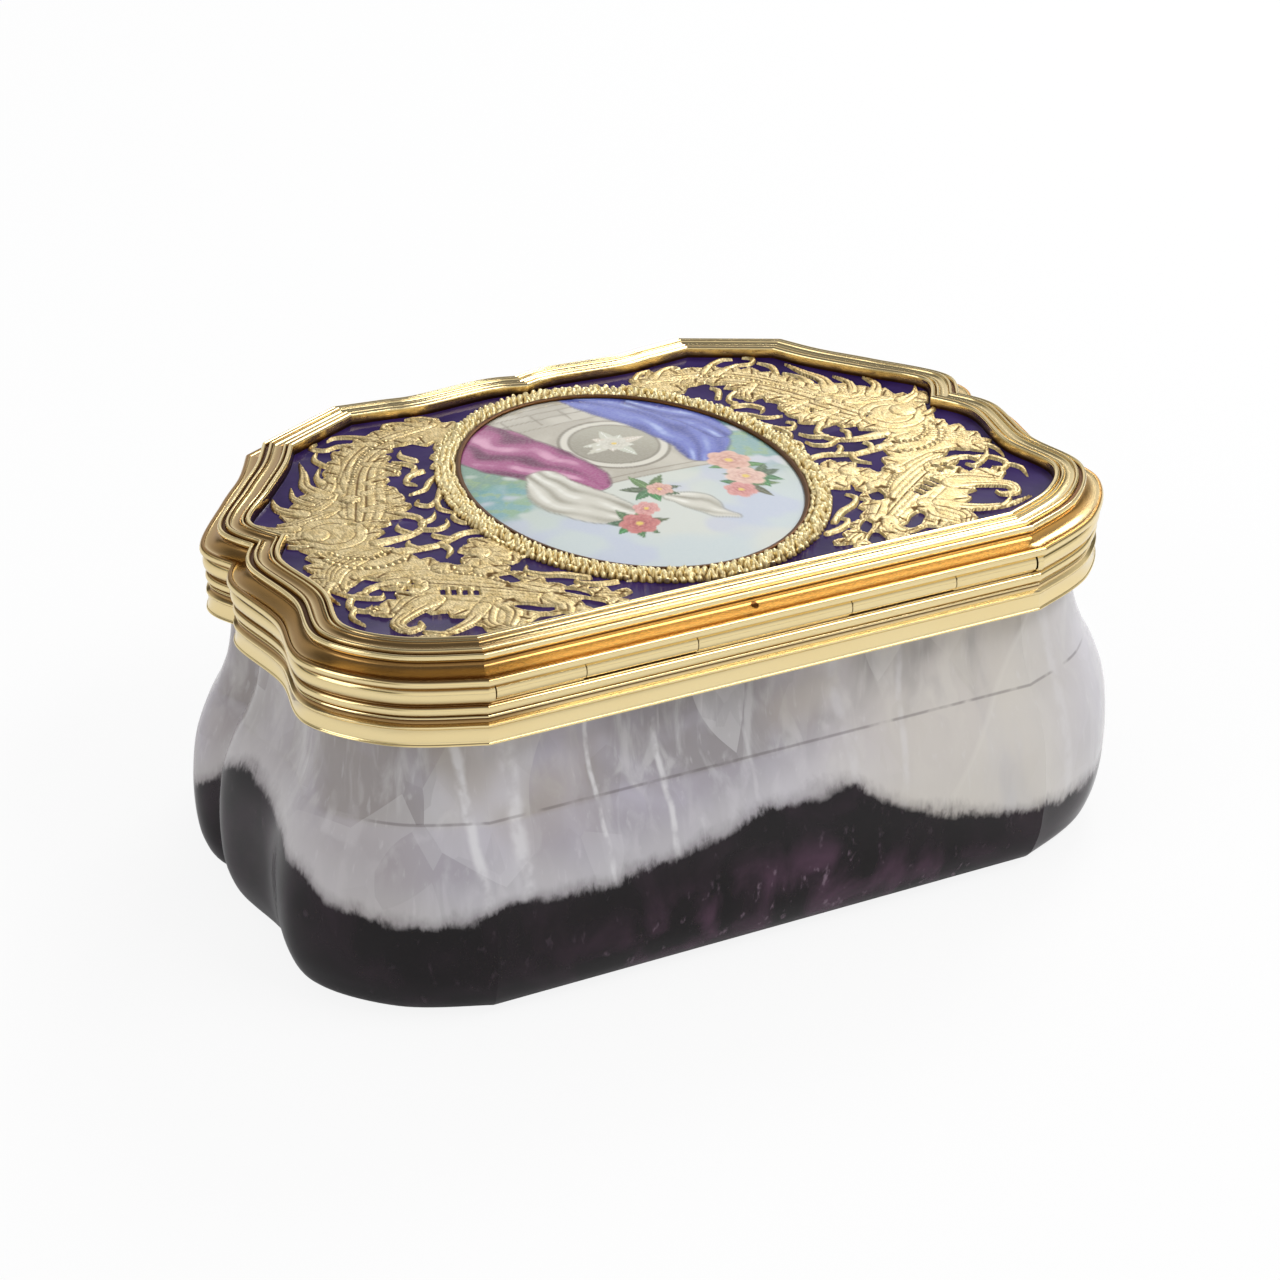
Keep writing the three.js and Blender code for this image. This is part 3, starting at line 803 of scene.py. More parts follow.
@dataclass(frozen=True)
class Levels:
    """Heights that the frame sets, and where the hinge's axis lies, in millimetres."""

    top: float
    parting: float
    mount_top: float
    skirt: float
    stone_top: float
    plate: float
    enamel: float
    hinge_y: float
    hinge_z: float

    @classmethod
    def of_frame(cls) -> "Levels":
        """Reads them from the CAD nodes' boxes."""
        rim, mount, pin = corners("lid_rim"), corners("body_mount"), corners("hinge_pin")
        axis = (pin[0] + pin[1]) / 2
        return cls(
            top=rim[1].z, parting=rim[0].z, mount_top=mount[1].z, skirt=mount[0].z,
            stone_top=corners("stone_body")[1].z, plate=corners("lid_plate")[1].z,
            enamel=corners("enamel_ground")[1].z, hinge_y=axis.y, hinge_z=axis.z,
        )


# Outlines and mouldings


@dataclass(frozen=True)
class Key:
    """A place that the right half of the outline runs through, and how many steps follow."""

    x: float
    y: float
    steps: int
    crease: bool = False


@dataclass(frozen=True)
class Cartouche:
    """The box's outline at the inner edge of the lid's frame, the same left and right.

    Lengths along Y run from the line through the two side notches.
    """

    notch_to_back: float = 24.4
    notch_to_front: float = 20.7
    back_half: float = 26.0
    chamfer_run: float = 5.6
    chamfer_rise: float = 2.6
    shoulder_half: float = 34.9
    shoulder_rise: float = 6.8
    waist_half: float = 33.9
    waist_to_notch: float = 11.2
    lobe_half: float = 34.9
    lobe_to_notch: float = 4.1
    lobe_tuck: float = 0.4
    notch_half: float = 32.9
    bay_half: float = 27.1
    bay_to_notch: float = 13.6
    bay_sag: float = 0.25
    corner_half: float = 25.2
    corner_drop: float = 3.8
    corner_run: float = 7.4
    dip_half: float = 10.5
    dip: float = 0.9
    middle_drop: float = 0.4
    front_notch: float = 0.7
    finer: int = 6
    back_steps: int = 8

    @property
    def middle_y(self) -> float:
        """Y of the two side notches."""
        return (self.notch_to_back - self.notch_to_front) / 2

    @property
    def back_y(self) -> float:
        """Y of the straight back edge."""
        return self.middle_y - self.notch_to_back

    def half(self) -> list[Key]:
        """The right half, from the back corner to the middle of the front."""
        middle = self.middle_y
        front = middle + self.notch_to_front
        facet_end = self.corner_half - self.corner_run
        bend_x = (self.lobe_half + self.bay_half) / 2 - self.lobe_tuck
        bend_y = middle + (self.lobe_to_notch + self.bay_to_notch) / 2 + self.bay_sag
        return [
            Key(self.back_half, self.back_y, 2, True),
            Key(self.back_half + self.chamfer_run, self.back_y + self.chamfer_rise, 3),
            Key(self.shoulder_half, self.back_y + self.shoulder_rise, 3),
            Key(self.waist_half, middle - self.waist_to_notch, 3),
            Key(self.lobe_half, middle - self.lobe_to_notch, 2),
            Key(self.notch_half, middle, 2, True),
            Key(self.lobe_half - self.lobe_tuck, middle + self.lobe_to_notch, 2),
            Key(bend_x, bend_y, 2),
            Key(self.bay_half, middle + self.bay_to_notch, 2),
            Key(self.corner_half, front - self.corner_drop, 1, True),
            Key(facet_end, front, 2, True),
            Key((facet_end + self.dip_half) / 2, front - self.dip / 2, 2),
            Key(self.dip_half, front - self.dip, 2),
            Key(self.dip_half / 3, front - self.middle_drop, 1),
            Key(0.0, front - self.middle_drop - self.front_notch, 1, True),
        ]

    def keys(self) -> list[Key]:
        """The whole loop of keys, anticlockwise from the right back corner."""
        right = self.half()
        last = len(right) - 1
        steps = [right[i].steps for i in range(last - 2, -1, -1)] + [self.back_steps]
        left = [Key(-key.x, key.y, count, key.crease)
                for key, count in zip(reversed(right[:last]), steps)]
        return right + left

    def creases(self) -> list[int]:
        """The stations of a loop at which the outline is creased."""
        found, station = [], 0
        for key in self.keys():
            if key.crease:
                found.append(station)
            station += key.steps * self.finer
        return found

    def loop(self, grow: float) -> Array:
        """The outline grown outwards.

        Args:
            grow: how far, in millimetres. A negative number shrinks it.

        Returns:
            A closed loop of flat points.
        """
        keys = self.keys()
        places = np.array([(key.x, key.y) for key in keys])
        before = places - np.roll(places, 1, axis=0)
        after = np.roll(places, -1, axis=0) - places
        before /= np.linalg.norm(before, axis=1)[:, None]
        after /= np.linalg.norm(after, axis=1)[:, None]
        normal = np.column_stack([before[:, 1] + after[:, 1], -before[:, 0] - after[:, 0]])
        normal /= np.linalg.norm(normal, axis=1)[:, None]
        square = normal[:, 0] * before[:, 1] - normal[:, 1] * before[:, 0]
        mitre = np.where([key.crease for key in keys], 1 / square, 1.0)
        moved = places + normal * (mitre * grow)[:, None]
        moved = np.vstack([moved, moved[:1]])
        creases = [i for i, key in enumerate(keys) if key.crease] + [len(keys)]
        points: list[Array] = []
        for start, end in zip(creases[:-1], creases[1:]):
            run = moved[start:end + 1]
            for span in range(end - start):
                points += spline_span(run, span, keys[start + span].steps * self.finer)
        return np.array(points)


def spline_span(run: Array, span: int, count: int) -> list[Array]:
    """Steps along one span of a smooth curve through points.

    Args:
        run: the points that the curve goes through.
        span: which stretch is wanted.
        count: how many steps it takes.

    Returns:
        The points of the stretch, without its end.
    """
    last = len(run) - 1
    p0, p1 = run[max(span - 1, 0)], run[span]
    p2, p3 = run[span + 1], run[min(span + 2, last)]
    v0, v1 = (p2 - p0) / 2, (p3 - p1) / 2
    found = []
    for k in range(count):
        t = k / count
        cubic = (2 * p1 - 2 * p2 + v0 + v1) * t ** 3
        found.append(cubic + (3 * p2 - 3 * p1 - 2 * v0 - v1) * t ** 2 + v0 * t + p1)
    return found


def spline(run: Sequence[tuple], count: int) -> Array:
    """A smooth curve.

    Args:
        run: the points that it goes through, each with as many numbers as the others.
        count: how many steps it takes from one to the next.

    Returns:
        The curve's points, both ends among them.
    """
    points = np.array(run, dtype=float)
    found: list[Array] = []
    for span in range(len(points) - 1):
        found += spline_span(points, span, count)
    return np.array(found + [points[-1]])


@dataclass(frozen=True)
class Turn:
    """One stretch of a moulding's section.

    It ends at a distance outside the outline and at a depth under the moulding's top. Swell
    is how far its middle bows out, to the left of the way it runs, and the share after it is
    how much grime and painted shade lie at its end.
    """

    out: float
    down: float
    swell: float = 0.0
    grime_and_shade: float = 0.0
    steps: int = 10


@dataclass(frozen=True)
class Moulding:
    """A section carried round the cartouche."""

    name: str
    top: float
    turns: tuple[Turn, ...]

    def section(self) -> Array:
        """The section as rows of distance, height and share of grime and painted shade, with its
        bows in steps.
        """
        points: list[tuple[float, float, float]] = []
        before = self.turns[-1]
        for turn in self.turns:
            points += self.bow(before, turn)
            before = turn
        return np.array(points)

    def bow(self, start: Turn, end: Turn) -> list[tuple[float, float, float]]:
        """The stretch from one turn to the next.

        Args:
            start: the turn before it.
            end: the turn that it ends at, which says how it bows.

        Returns:
            Rows of distance, height and share of grime and painted shade, without the start.
        """
        if end.swell == 0.0:
            return [(end.out, self.top - end.down, end.grime_and_shade)]
        run, rise = end.out - start.out, start.down - end.down
        length = math.hypot(run, rise)
        rows = []
        for k in range(1, end.steps + 1):
            share = (1 - math.cos(math.pi * k / end.steps)) / 2
            reach = end.swell * math.sin(math.pi * k / end.steps)
            if end.swell < 0:
                grime_and_shade = start.grime_and_shade * (1 - share) + end.grime_and_shade * share
            else:
                grime_and_shade = start.grime_and_shade * (1 - share) ** 4 + end.grime_and_shade * share ** 4
            rows.append((start.out + run * share - rise / length * reach,
                         self.top - start.down + rise * share + run / length * reach, grime_and_shade))
        return rows

    def build(self, outline: Cartouche) -> Piece:
        """Makes the piece."""
        section = self.section()
        loops = [at_height(outline.loop(out), z) for out, z in section[:, :2]]
        piece = sweep(self.name, loops, ring=True)
        mark(piece, "recess", section[:, 2])
        smooth(piece, 32.0, outline.creases())
        return piece


@dataclass(frozen=True)
class Oval:
    """The plaque's opening."""

    half_x: float = 14.8
    half_y: float = 18.8

    def at(self, angle: Array, grow: Union[float, Array]) -> Array:
        """Flat points of the oval, grown outwards, in the directions of some angles."""
        a, b = self.half_x + grow, self.half_y + grow
        reach = a * b / np.hypot(b * np.cos(angle), a * np.sin(angle))
        return np.column_stack([reach * np.cos(angle), reach * np.sin(angle)])

    def loop(self, grow: float, count: int) -> Array:
        """The whole oval, grown outwards, in so many points."""
        return self.at(np.arange(count) / count * 2 * math.pi, grow)

    def inside(self, x: Array, y: Array, grow: float) -> Array:
        """How far points lie inside the oval grown outwards, in millimetres."""
        angle = np.arctan2(y, x)
        edge = self.at(angle, grow)
        return np.hypot(edge[:, 0], edge[:, 1]) - np.hypot(x, y)


# The box


@dataclass(frozen=True)
class StoneBowl:
    """The bombe bowl, from its flat foot to the neck inside the mount, and its inside.

    The rows of its section are a distance outside the outline and a height.
    """

    levels: Levels
    outline: Cartouche
    foot: tuple = ((-1.0, 0.0), (3.96, 0.4), (5.94, 3.2), (6.53, 8.0), (6.14, 13.0), (5.0, 16.4),
                   (3.85, 18.5))
    neck: tuple = ((3.85, 18.5), (2.85, 21.0), (2.35, 23.6), (2.2, 26.3))
    inside: tuple = ((-1.5, 12.0), (-1.7, 9.0), (-2.7, 6.2), (-4.9, 4.0))
    wall_inside: float = -1.5

    def build(self) -> None:
        """Makes the bowl and dresses it."""
        outside = np.vstack([spline(self.foot, 9)[:-1], spline(self.neck, 7)])
        top = self.levels.stone_top
        rim = [(self.neck[-1][0], top), (self.wall_inside, top)]
        section = np.vstack([outside, rim, spline(self.inside, 5)])
        loops = [at_height(self.outline.loop(out), z) for out, z in section]
        bowl = sweep("bowl", loops, ring=False)
        smooth(bowl, 40.0, self.outline.creases())
        finish(bowl, Body.BOX, Slot.STONE, "stone_body")


@dataclass(frozen=True)
class NeckMount:
    """The gold band round the stone's neck, the lip inside it and the hinge's trough."""

    levels: Levels
    outline: Cartouche
    inside: float = -1.5
    bead: float = 4.03
    skirt_out: float = 4.4
    cement: float = 0.3
    neck: float = 2.2
    trough_half: float = 26.4
    trough_reach: float = 1.1
    trough_drop: float = 0.88
    lip_out: float = 0.6
    lip_wall: float = 0.8
    lip_height: float = 0.45
    lip_clear_of_hinge: float = 10.2

    def build(self) -> None:
        """Makes the band and the inner lip and dresses them."""
        levels = self.levels
        deep = levels.mount_top - levels.skirt
        seat = levels.mount_top - levels.stone_top
        bead, skirt = self.bead, self.skirt_out
        # The shares in the turns darken grooves and the beads' undersides with grime and painted
        # shade.
        band = Moulding("neck_band", levels.mount_top, (
            Turn(self.inside, 0.0), Turn(bead - 0.02, 0.0), Turn(bead, 0.06, 0.0, 0.3),
            Turn(bead, 1.66, 0.5, 0.5, 14), Turn(bead - 0.1, 1.74, 0.0, 1.0),
            Turn(bead, 1.86, 0.0, 0.4), Turn(bead, 2.74, 0.32, 0.4, 12),
            Turn(bead - 0.12, 2.82, 0.0, 1.0), Turn(bead, 2.88, 0.0, 0.1),
            Turn(bead + 0.1, 3.04, 0.05, 0.0, 4), Turn(bead - 0.04, 3.14, 0.0, 0.9),
            Turn(bead - 0.02, 3.5, -0.03, 0.35, 4), Turn(skirt - 0.12, 3.66, 0.0, 0.2),
            Turn(skirt - 0.06, 3.86, 0.04, 0.0, 4), Turn(skirt - 0.06, deep - 0.14, -0.14, 0.0, 12),
            Turn(skirt, deep, 0.03, 0.0, 4), Turn(self.neck + self.cement, deep),
            Turn(self.neck + self.cement, seat), Turn(self.inside, seat),
        )).build(self.outline)
        trough_back = levels.hinge_y + self.trough_reach
        cut(band, (-self.trough_half, levels.hinge_y - 4.0, levels.hinge_z - self.trough_drop),
            (self.trough_half, trough_back, levels.mount_top + 2.0))
        finish(band, Body.BOX, Slot.GOLD, "body_mount")
        out, wall, tall = self.lip_out, self.lip_wall, self.lip_height
        lip = Moulding("inner_lip", levels.mount_top, (
            Turn(out, 0.0), Turn(out, 0.12 - tall), Turn(out - 0.2, -tall, 0.04, 0.0, 5),
            Turn(out - wall + 0.1, -tall), Turn(out - wall, 0.1 - tall, 0.03, 0.0, 4),
            Turn(out - wall, 0.0),
        )).build(self.outline)
        reach = 2 * self.outline.shoulder_half
        cut(lip, (-reach, -reach, levels.mount_top - 1.0),
            (reach, levels.hinge_y + self.lip_clear_of_hinge, levels.mount_top + 3.0))
        finish(lip, Body.BOX, Slot.GOLD, "bezel")


@dataclass(frozen=True)
class Hinge:
    """Five tube lengths on one pin. The outer ones and the middle one belong to the box."""

    levels: Levels
    radius: float = 0.85
    bore: float = 0.45
    gap: float = 0.06
    ends: tuple = (-26.3, -18.0, -7.5, 7.5, 18.0, 26.3)
    nodes: tuple = ("body_knuckle_left", "lid_knuckle_left", "body_knuckle_middle",
                    "lid_knuckle_right", "body_knuckle_right")
    web_half: float = 0.5
    foot_near: float = 0.3
    foot_far: float = 1.1
    foot_drop: float = 0.88
    bevel: float = 0.05
    steps: int = 40

    def outline(self, on_lid: bool) -> Array:
        """The section across a knuckle with its web, round the hinge's axis.

        Args:
            on_lid: whether the web goes up to the lid or down to the mount.

        Returns:
            The section's points.
        """
        if on_lid:
            start = math.acos(self.web_half / self.radius)
            turn = math.pi + 2 * start
            angle = start - np.arange(self.steps) / (self.steps - 1) * turn
            rise = self.levels.parting - self.levels.hinge_z
            web = [(-self.web_half, rise), (self.web_half, rise)]
        else:
            turn = math.pi + math.acos(self.foot_near / self.radius)
            angle = turn - np.arange(self.steps) / (self.steps - 1) * turn
            web = [(self.foot_far, 0.0), (self.foot_far, -self.foot_drop),
                   (-self.foot_near, -self.foot_drop)]
        barrel = np.column_stack([np.cos(angle), np.sin(angle)]) * self.radius
        return np.vstack([barrel, web])

    def knuckle(self, name: str, start: float, end: float, on_lid: bool) -> Piece:
        """Makes one tube length with softened ends.

        Args:
            name: its name.
            start: where it starts along the hinge.
            end: where it ends.
            on_lid: whether it belongs to the lid.

        Returns:
            The piece.
        """
        outline = self.outline(on_lid)
        angle = np.arctan2(outline[:, 1], outline[:, 0])
        round_bore = np.column_stack([np.cos(angle), np.sin(angle)]) * self.bore
        shy = outline * (1 - self.bevel / self.radius)
        start, end = start + self.gap / 2, end - self.gap / 2
        rings = [(start, round_bore), (start, shy), (start + self.bevel, outline),
                 (end - self.bevel, outline), (end, shy), (end, round_bore)]
        loops = []
        for x, ring in rings:
            place = np.column_stack([np.full(len(ring), x), ring[:, 0] + self.levels.hinge_y,
                                     ring[:, 1] + self.levels.hinge_z])
            loops.append(place)
        piece = sweep(name, loops, ring=True)
        # The knuckles' ends are darkened with grime and painted shade between the tubes.
        mark(piece, "recess", np.array([0.9, 0.45, 0.0, 0.0, 0.45, 0.9]))
        smooth(piece, 30.0)
        return piece

    def build(self) -> None:
        """Makes the knuckles and dresses them, the pin and its plugs."""
        for node, start, end in zip(self.nodes, self.ends[:-1], self.ends[1:]):
            on_lid = node.startswith("lid")
            piece = self.knuckle(node.replace("knuckle", "tube"), start, end, on_lid)
            finish(piece, Body.LID if on_lid else Body.BOX, Slot.GOLD, node)
        for node in ("hinge_pin", "pin_plug_left", "pin_plug_right"):
            Slot.GOLD.dress(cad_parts[node])


# The lid


@dataclass(frozen=True)
class LidShell:
    """The moulded frame, the sheet that closes the lid below and the plate between them."""

    levels: Levels
    outline: Cartouche
    lip: float = 3.0
    roll: float = 4.75
    wall: float = 0.9
    flange: float = 1.5
    sheet_grow: float = -0.5
    sheet_edge: float = 0.08

    def build(self) -> None:
        """Makes the frame and the lining and dresses them and the plate."""
        levels, lip, roll = self.levels, self.lip, self.roll
        deep = levels.top - levels.parting
        # The shares in the turns darken the grooves with grime and painted shade, and the inner
        # wall with painted shade.
        rim = Moulding("lid_frame", levels.top, (
            Turn(0.0, self.flange, 0.0, 1.0), Turn(0.0, 0.95, 0.0, 0.85),
            Turn(0.0, 0.36, 0.0, 0.4), Turn(0.01, 0.3, 0.0, 0.1), Turn(0.52, 0.24, 0.24, 0.3, 14),
            Turn(0.6, 0.34, 0.0, 1.0), Turn(0.68, 0.2, 0.0, 0.3), Turn(0.84, 0.1, 0.05, 0.0, 5),
            Turn(0.92, 0.16, 0.0, 0.4), Turn(1.92, 0.22, -0.26, 0.15, 16),
            Turn(1.98, 0.3, 0.0, 0.8),
            Turn(2.3, 0.28, 0.14, 0.2, 10), Turn(2.38, 0.55, 0.0, 0.9), Turn(2.6, 0.6, 0.0, 1.0),
            Turn(2.68, 0.42, 0.0, 0.2), Turn(lip - 0.08, 0.34, 0.04, 0.0, 5),
            Turn(lip, 0.46, 0.02, 0.0, 4), Turn(lip, 0.84, 0.04, 0.0, 6),
            Turn(lip - 0.12, 0.96, 0.02, 0.3, 3), Turn(lip - 0.34, 1.16, -0.03, 0.9, 5),
            Turn(lip - 0.3, 1.28, 0.0, 0.55), Turn(roll - 0.45, 1.82, -0.3, 0.2, 18),
            Turn(roll - 0.33, 1.82, 0.0, 0.6), Turn(roll - 0.13, deep, 0.22, 0.4, 14),
            Turn(self.wall, deep), Turn(self.wall, self.flange),
        )).build(self.outline)
        finish(rim, Body.LID, Slot.GOLD, "lid_rim")
        low, high = corners("lid_lining")
        sections = [(self.sheet_grow - self.sheet_edge, low.z),
                    (self.sheet_grow, low.z + self.sheet_edge), (self.sheet_grow, high.z)]
        loops = [at_height(self.outline.loop(out), z) for out, z in sections]
        lining = sweep("lining_sheet", loops, ring=False)
        smooth(lining, 60.0)
        finish(lining, Body.LID, Slot.GOLD, "lid_lining")
        Slot.GOLD.dress(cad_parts["lid_plate"])


@dataclass(frozen=True)
class EnamelField:
    """The violet enamel between the frame and the wreath."""

    levels: Levels
    outline: Cartouche
    oval: Oval
    edge: float = -0.02
    seat: float = 1.45
    fit: float = 0.3
    lip: float = 0.15
    lip_height: float = 0.06

    def build(self) -> None:
        """Makes the field and dresses it."""
        outer = self.outline.loop(self.edge)
        lip = self.outline.loop(self.edge - self.lip)
        inner = self.oval.at(np.arctan2(outer[:, 1], outer[:, 0]), self.seat + self.fit)
        low, high = self.levels.plate, self.levels.enamel
        loops = [at_height(inner, low), at_height(outer, low),
                 at_height(outer, high + self.lip_height), at_height(lip, high),
                 at_height(inner, high)]
        field_piece = sweep("enamel_field", loops, ring=True)
        smooth(field_piece, 30.0)
        finish(field_piece, Body.LID, Slot.VIOLET, "enamel_ground")


# Chased relief


def ease(value: Array, low: float, high: float) -> Array:
    """0 up to low and 1 from high, eased in between."""
    share = np.clip((value - low) / (high - low), 0.0, 1.0)
    return share * share * (3 - 2 * share)


def line_share(value: Array, low: float, high: float) -> Array:
    """1 where a value is within low of 0 and 0 from high, eased in between."""
    return 1 - ease(np.abs(value), low, high)


def chance(number: Array, seed: float) -> Array:
    """An uneven share for each number, the same at every run."""
    return np.abs(np.sin(number * 12.9898 + seed) * 43.7585) % 1.0


def turned(x: Array, y: Array, turn: float) -> tuple[Array, Array]:
    """Places measured along a direction and to its left."""
    return (x * math.cos(turn) + y * math.sin(turn),
            y * math.cos(turn) - x * math.sin(turn))


def distances(line: Array) -> Array:
    """How far each point of a line lies along it."""
    steps = np.linalg.norm(np.diff(line, axis=0), axis=1)
    return np.concatenate([[0.0], np.cumsum(steps)])


def beside_line(places: Array, middle: Array, width: Array) -> tuple[Array, Array, Array]:
    """How places lie to a ribbon.

    Args:
        places: flat points.
        middle: points along the ribbon's middle.
        width: its width at each of them.

    Returns:
        The number of the nearest point, how far to the left of the middle each place lies,
        as a share of half the width, and how far inside the ribbon.
    """
    along = np.gradient(middle, axis=0)
    along /= np.linalg.norm(along, axis=1)[:, None]
    away = np.linalg.norm(places[:, None, :] - middle[None, :, :], axis=2)
    nearest = np.argmin(away - width[None, :] / 2, axis=1)
    offset, half = places - middle[nearest], width[nearest] / 2
    side = (along[nearest, 0] * offset[:, 1] - along[nearest, 1] * offset[:, 0]) / half
    return nearest, side, half - away[np.arange(len(places)), nearest]


@dataclass(frozen=True)
class Stroke:
    """A chased ribbon given by [x, y, width] along its middle.

    Flutes is how many hollows run along it, lobes how many scallops its left edge has, and
    body how high it stands over the enamel.
    """

    run: tuple[tuple[float, float, float], ...]
    flutes: int = 1
    lobes: int = 0
    body: float = 0.24


@dataclass(frozen=True)
class Boss:
    """A round raised place with engraved rings, and petals if it has any."""

    x: float
    y: float
    radius: float
    rings: int = 2
    petals: int = 0
    body: float = 0.26


@dataclass(frozen=True)
class Beading:
    """A row of beads along a curve."""

    run: tuple[tuple[float, float], ...]
    radius: float
    pitch: float


class Relief:
    """Heights over a grid of places, built up from shapes laid one over another.

    Heights are over the enamel. FLOOR is where nothing lies, MOAT how deep the line round each
    shape is, CUT how deep an engraved line is, CROWN and DOME how much the middle of a ribbon
    and of a boss rises, and BEAD and BEAD_RISE the height of a bead's foot and what it adds.
    """

    FLOOR, MOAT, CUT = -0.16, 0.045, 0.045
    CROWN, DOME, BEAD, BEAD_RISE = 0.03, 0.05, 0.21, 0.11
    STROKE_STEPS, BEADING_STEPS = 16, 24
    THINNEST, MARGIN = 0.12, 0.6

    def __init__(self, x: Array, y: Array) -> None:
        """Starts with nothing laid."""
        self.x, self.y = x, y
        self.height = np.full(len(x), self.FLOOR)
        # Grime and painted shade, laid in the engraved lines and moats.
        self.grime_and_shade = np.zeros(len(x))

    def lay(self, near: Array, inside: Array, body: Array, grime_and_shade: Array) -> None:
        """Lays one shape over what is there.

        Args:
            near: the places that it may reach.
            inside: how far each of them lies inside its edge.
            body: its height there.
            grime_and_shade: how much grime and painted shade lie there.
        """
        under, grime_and_shade_share = self.height[near], self.grime_and_shade[near]
        moat = ease(inside, -0.15, -0.08) * (1 - ease(inside, -0.04, 0.03)) * (under > 0)
        under = under - self.MOAT * moat
        # The moat round the new shape gets grime and painted shade.
        grime_and_shade_share = np.maximum(grime_and_shade_share, 0.7 * moat)
        own = self.FLOOR + (body - self.FLOOR) * ease(inside, -0.07, 0.07)
        over = (own > under) & (inside > -0.1)
        self.height[near] = np.where(over, own, under)
        self.grime_and_shade[near] = np.where(over, grime_and_shade, grime_and_shade_share)

    def stroke(self, stroke: Stroke) -> None:
        """Lays a ribbon.

        Args:
            stroke: its course and engraving.
        """
        line = spline(stroke.run, self.STROKE_STEPS)
        middle, width = line[:, :2], np.maximum(line[:, 2], self.THINNEST)
        margin = width.max() / 2 + self.MARGIN
        low, high = middle.min(axis=0) - margin, middle.max(axis=0) + margin
        near = np.flatnonzero((self.x > low[0]) & (self.x < high[0])
                              & (self.y > low[1]) & (self.y < high[1]))
        places = np.column_stack([self.x[near], self.y[near]])
        nearest, side, inside = beside_line(places, middle, width)
        travelled = distances(middle)
        reach = travelled[nearest] / travelled[-1]
        if stroke.lobes:
            saw = (stroke.lobes * reach + 0.3 * side) % 1.0
            inside = inside - saw ** 1.6 * 0.34 * (width[nearest] / 2) * ease(side, 0.1, 0.8)
        groove = np.zeros(len(near))
        if stroke.flutes > 1:
            groove = np.abs(np.cos(math.pi * stroke.flutes * (side + 1) / 2))
        groove = ease(groove, 0.8, 1.0) * ease(reach, 0.02, 0.2) * (np.abs(side) < 1)
        crown = self.CROWN * (1 - np.clip(side, -1, 1) ** 2)
        # The flutes get grime and painted shade.
        self.lay(near, inside, stroke.body + crown - groove * self.CUT, groove * 0.8)

    def boss(self, boss: Boss) -> None:
        """Lays a round boss.

        Args:
            boss: its place and engraving.
        """
        away = np.hypot(self.x - boss.x, self.y - boss.y)
        near = np.flatnonzero(away < boss.radius + self.MARGIN)
        away = away[near]
        angle = np.arctan2(self.y[near] - boss.y, self.x[near] - boss.x)
        reach = away / boss.radius
        edge, ring = boss.radius, np.zeros(len(near))
        if boss.rings:
            ring = line_share(np.sin(math.pi * boss.rings * (1 - reach)), 0.0, 0.42)
        ring = ring * ease(reach, 0.28, 0.4) * (1 - ease(reach, 0.93, 1.0))
        if boss.petals:
            edge = edge * (1 - 0.1 * (1 - np.abs(np.cos(boss.petals * angle / 2))))
            spoke = line_share(np.sin(boss.petals * angle / 2), 0.0, 0.35)
            ring = np.maximum(ring * 0.4, spoke * ease(reach, 0.3, 0.5))
        body = boss.body + self.DOME * (1 - reach ** 2) - self.CUT * ring
        # The engraved rings and spokes get grime and painted shade.
        self.lay(near, edge - away, body, ring * 0.85)

    def beading(self, beading: Beading) -> None:
        """Lays a row of beads.

        Args:
            beading: its course and the beads' size.
        """
        line = spline(beading.run, self.BEADING_STEPS)
        length = distances(line)
        count = int(length[-1] / beading.pitch) + 1
        for reach in np.arange(count) * beading.pitch:
            x, y = (np.interp(reach, length, line[:, axis]) for axis in (0, 1))
            away = np.hypot(self.x - x, self.y - y)
            near = np.flatnonzero(away < beading.radius + 0.3)
            away = away[near]
            dome = np.sqrt(np.clip(1 - (away / beading.radius) ** 2, 0, 1))
            body = self.BEAD + self.BEAD_RISE * dome
            self.lay(near, beading.radius - away, body, np.zeros(len(near)))

    def spread(self, inside: Array, body: float) -> None:
        """Lays the flat gold that the rest is chased into, inside an edge."""
        everywhere = np.arange(len(self.x))
        self.lay(everywhere, inside, np.full(len(self.x), body), np.zeros(len(self.x)))

    def leafy(self, inside: Array, along: Array, depth: float) -> Array:
        """Engraves pointed leaves beside a window's edge.

        Args:
            inside: how far each place lies inside the window, negative on the gold.
            along: leaves passed along its edge, as a number.
            depth: how far a leaf's tip reaches into the window, about.

        Returns:
            How far each place lies inside the window with the tips left standing.
        """
        lean = along + 0.16 * np.clip(inside, -1.5, 1.5) + 0.14 * np.clip(inside, 0.0, 1.6) ** 2
        leaf = np.floor(lean)
        away = np.abs(lean - leaf - 0.5) * 2
        tip = depth * (0.3 + 1.15 * chance(leaf, depth * 39.42) ** 1.4)
        pointed = inside - tip * (1 - away ** 1.25) + 0.1
        vein = line_share(away, 0.05, 0.2) * ease(inside, -1.35, -0.85) \
            * (1 - ease(inside, tip * 0.2, tip * 0.5))
        cut = np.maximum(vein, 0.7 * line_share(pointed + 0.3, 0.03, 0.09))
        self.height -= self.CUT * cut * (self.height > 0)
        # Engraved veins and leaf edges get grime and painted shade.
        self.grime_and_shade = np.maximum(self.grime_and_shade, 0.85 * cut)
        return pointed

    def open(self, inside: Array) -> None:
        """Cuts windows down to the enamel, with a softened brink."""
        self.grime_and_shade = self.grime_and_shade * (1 - ease(inside, -0.24, -0.14))
        self.height = self.height - 0.025 * ease(inside, -0.1, -0.02) * (self.height > 0)
        self.height += (self.FLOOR - self.height) * ease(inside, -0.06, 0.04)

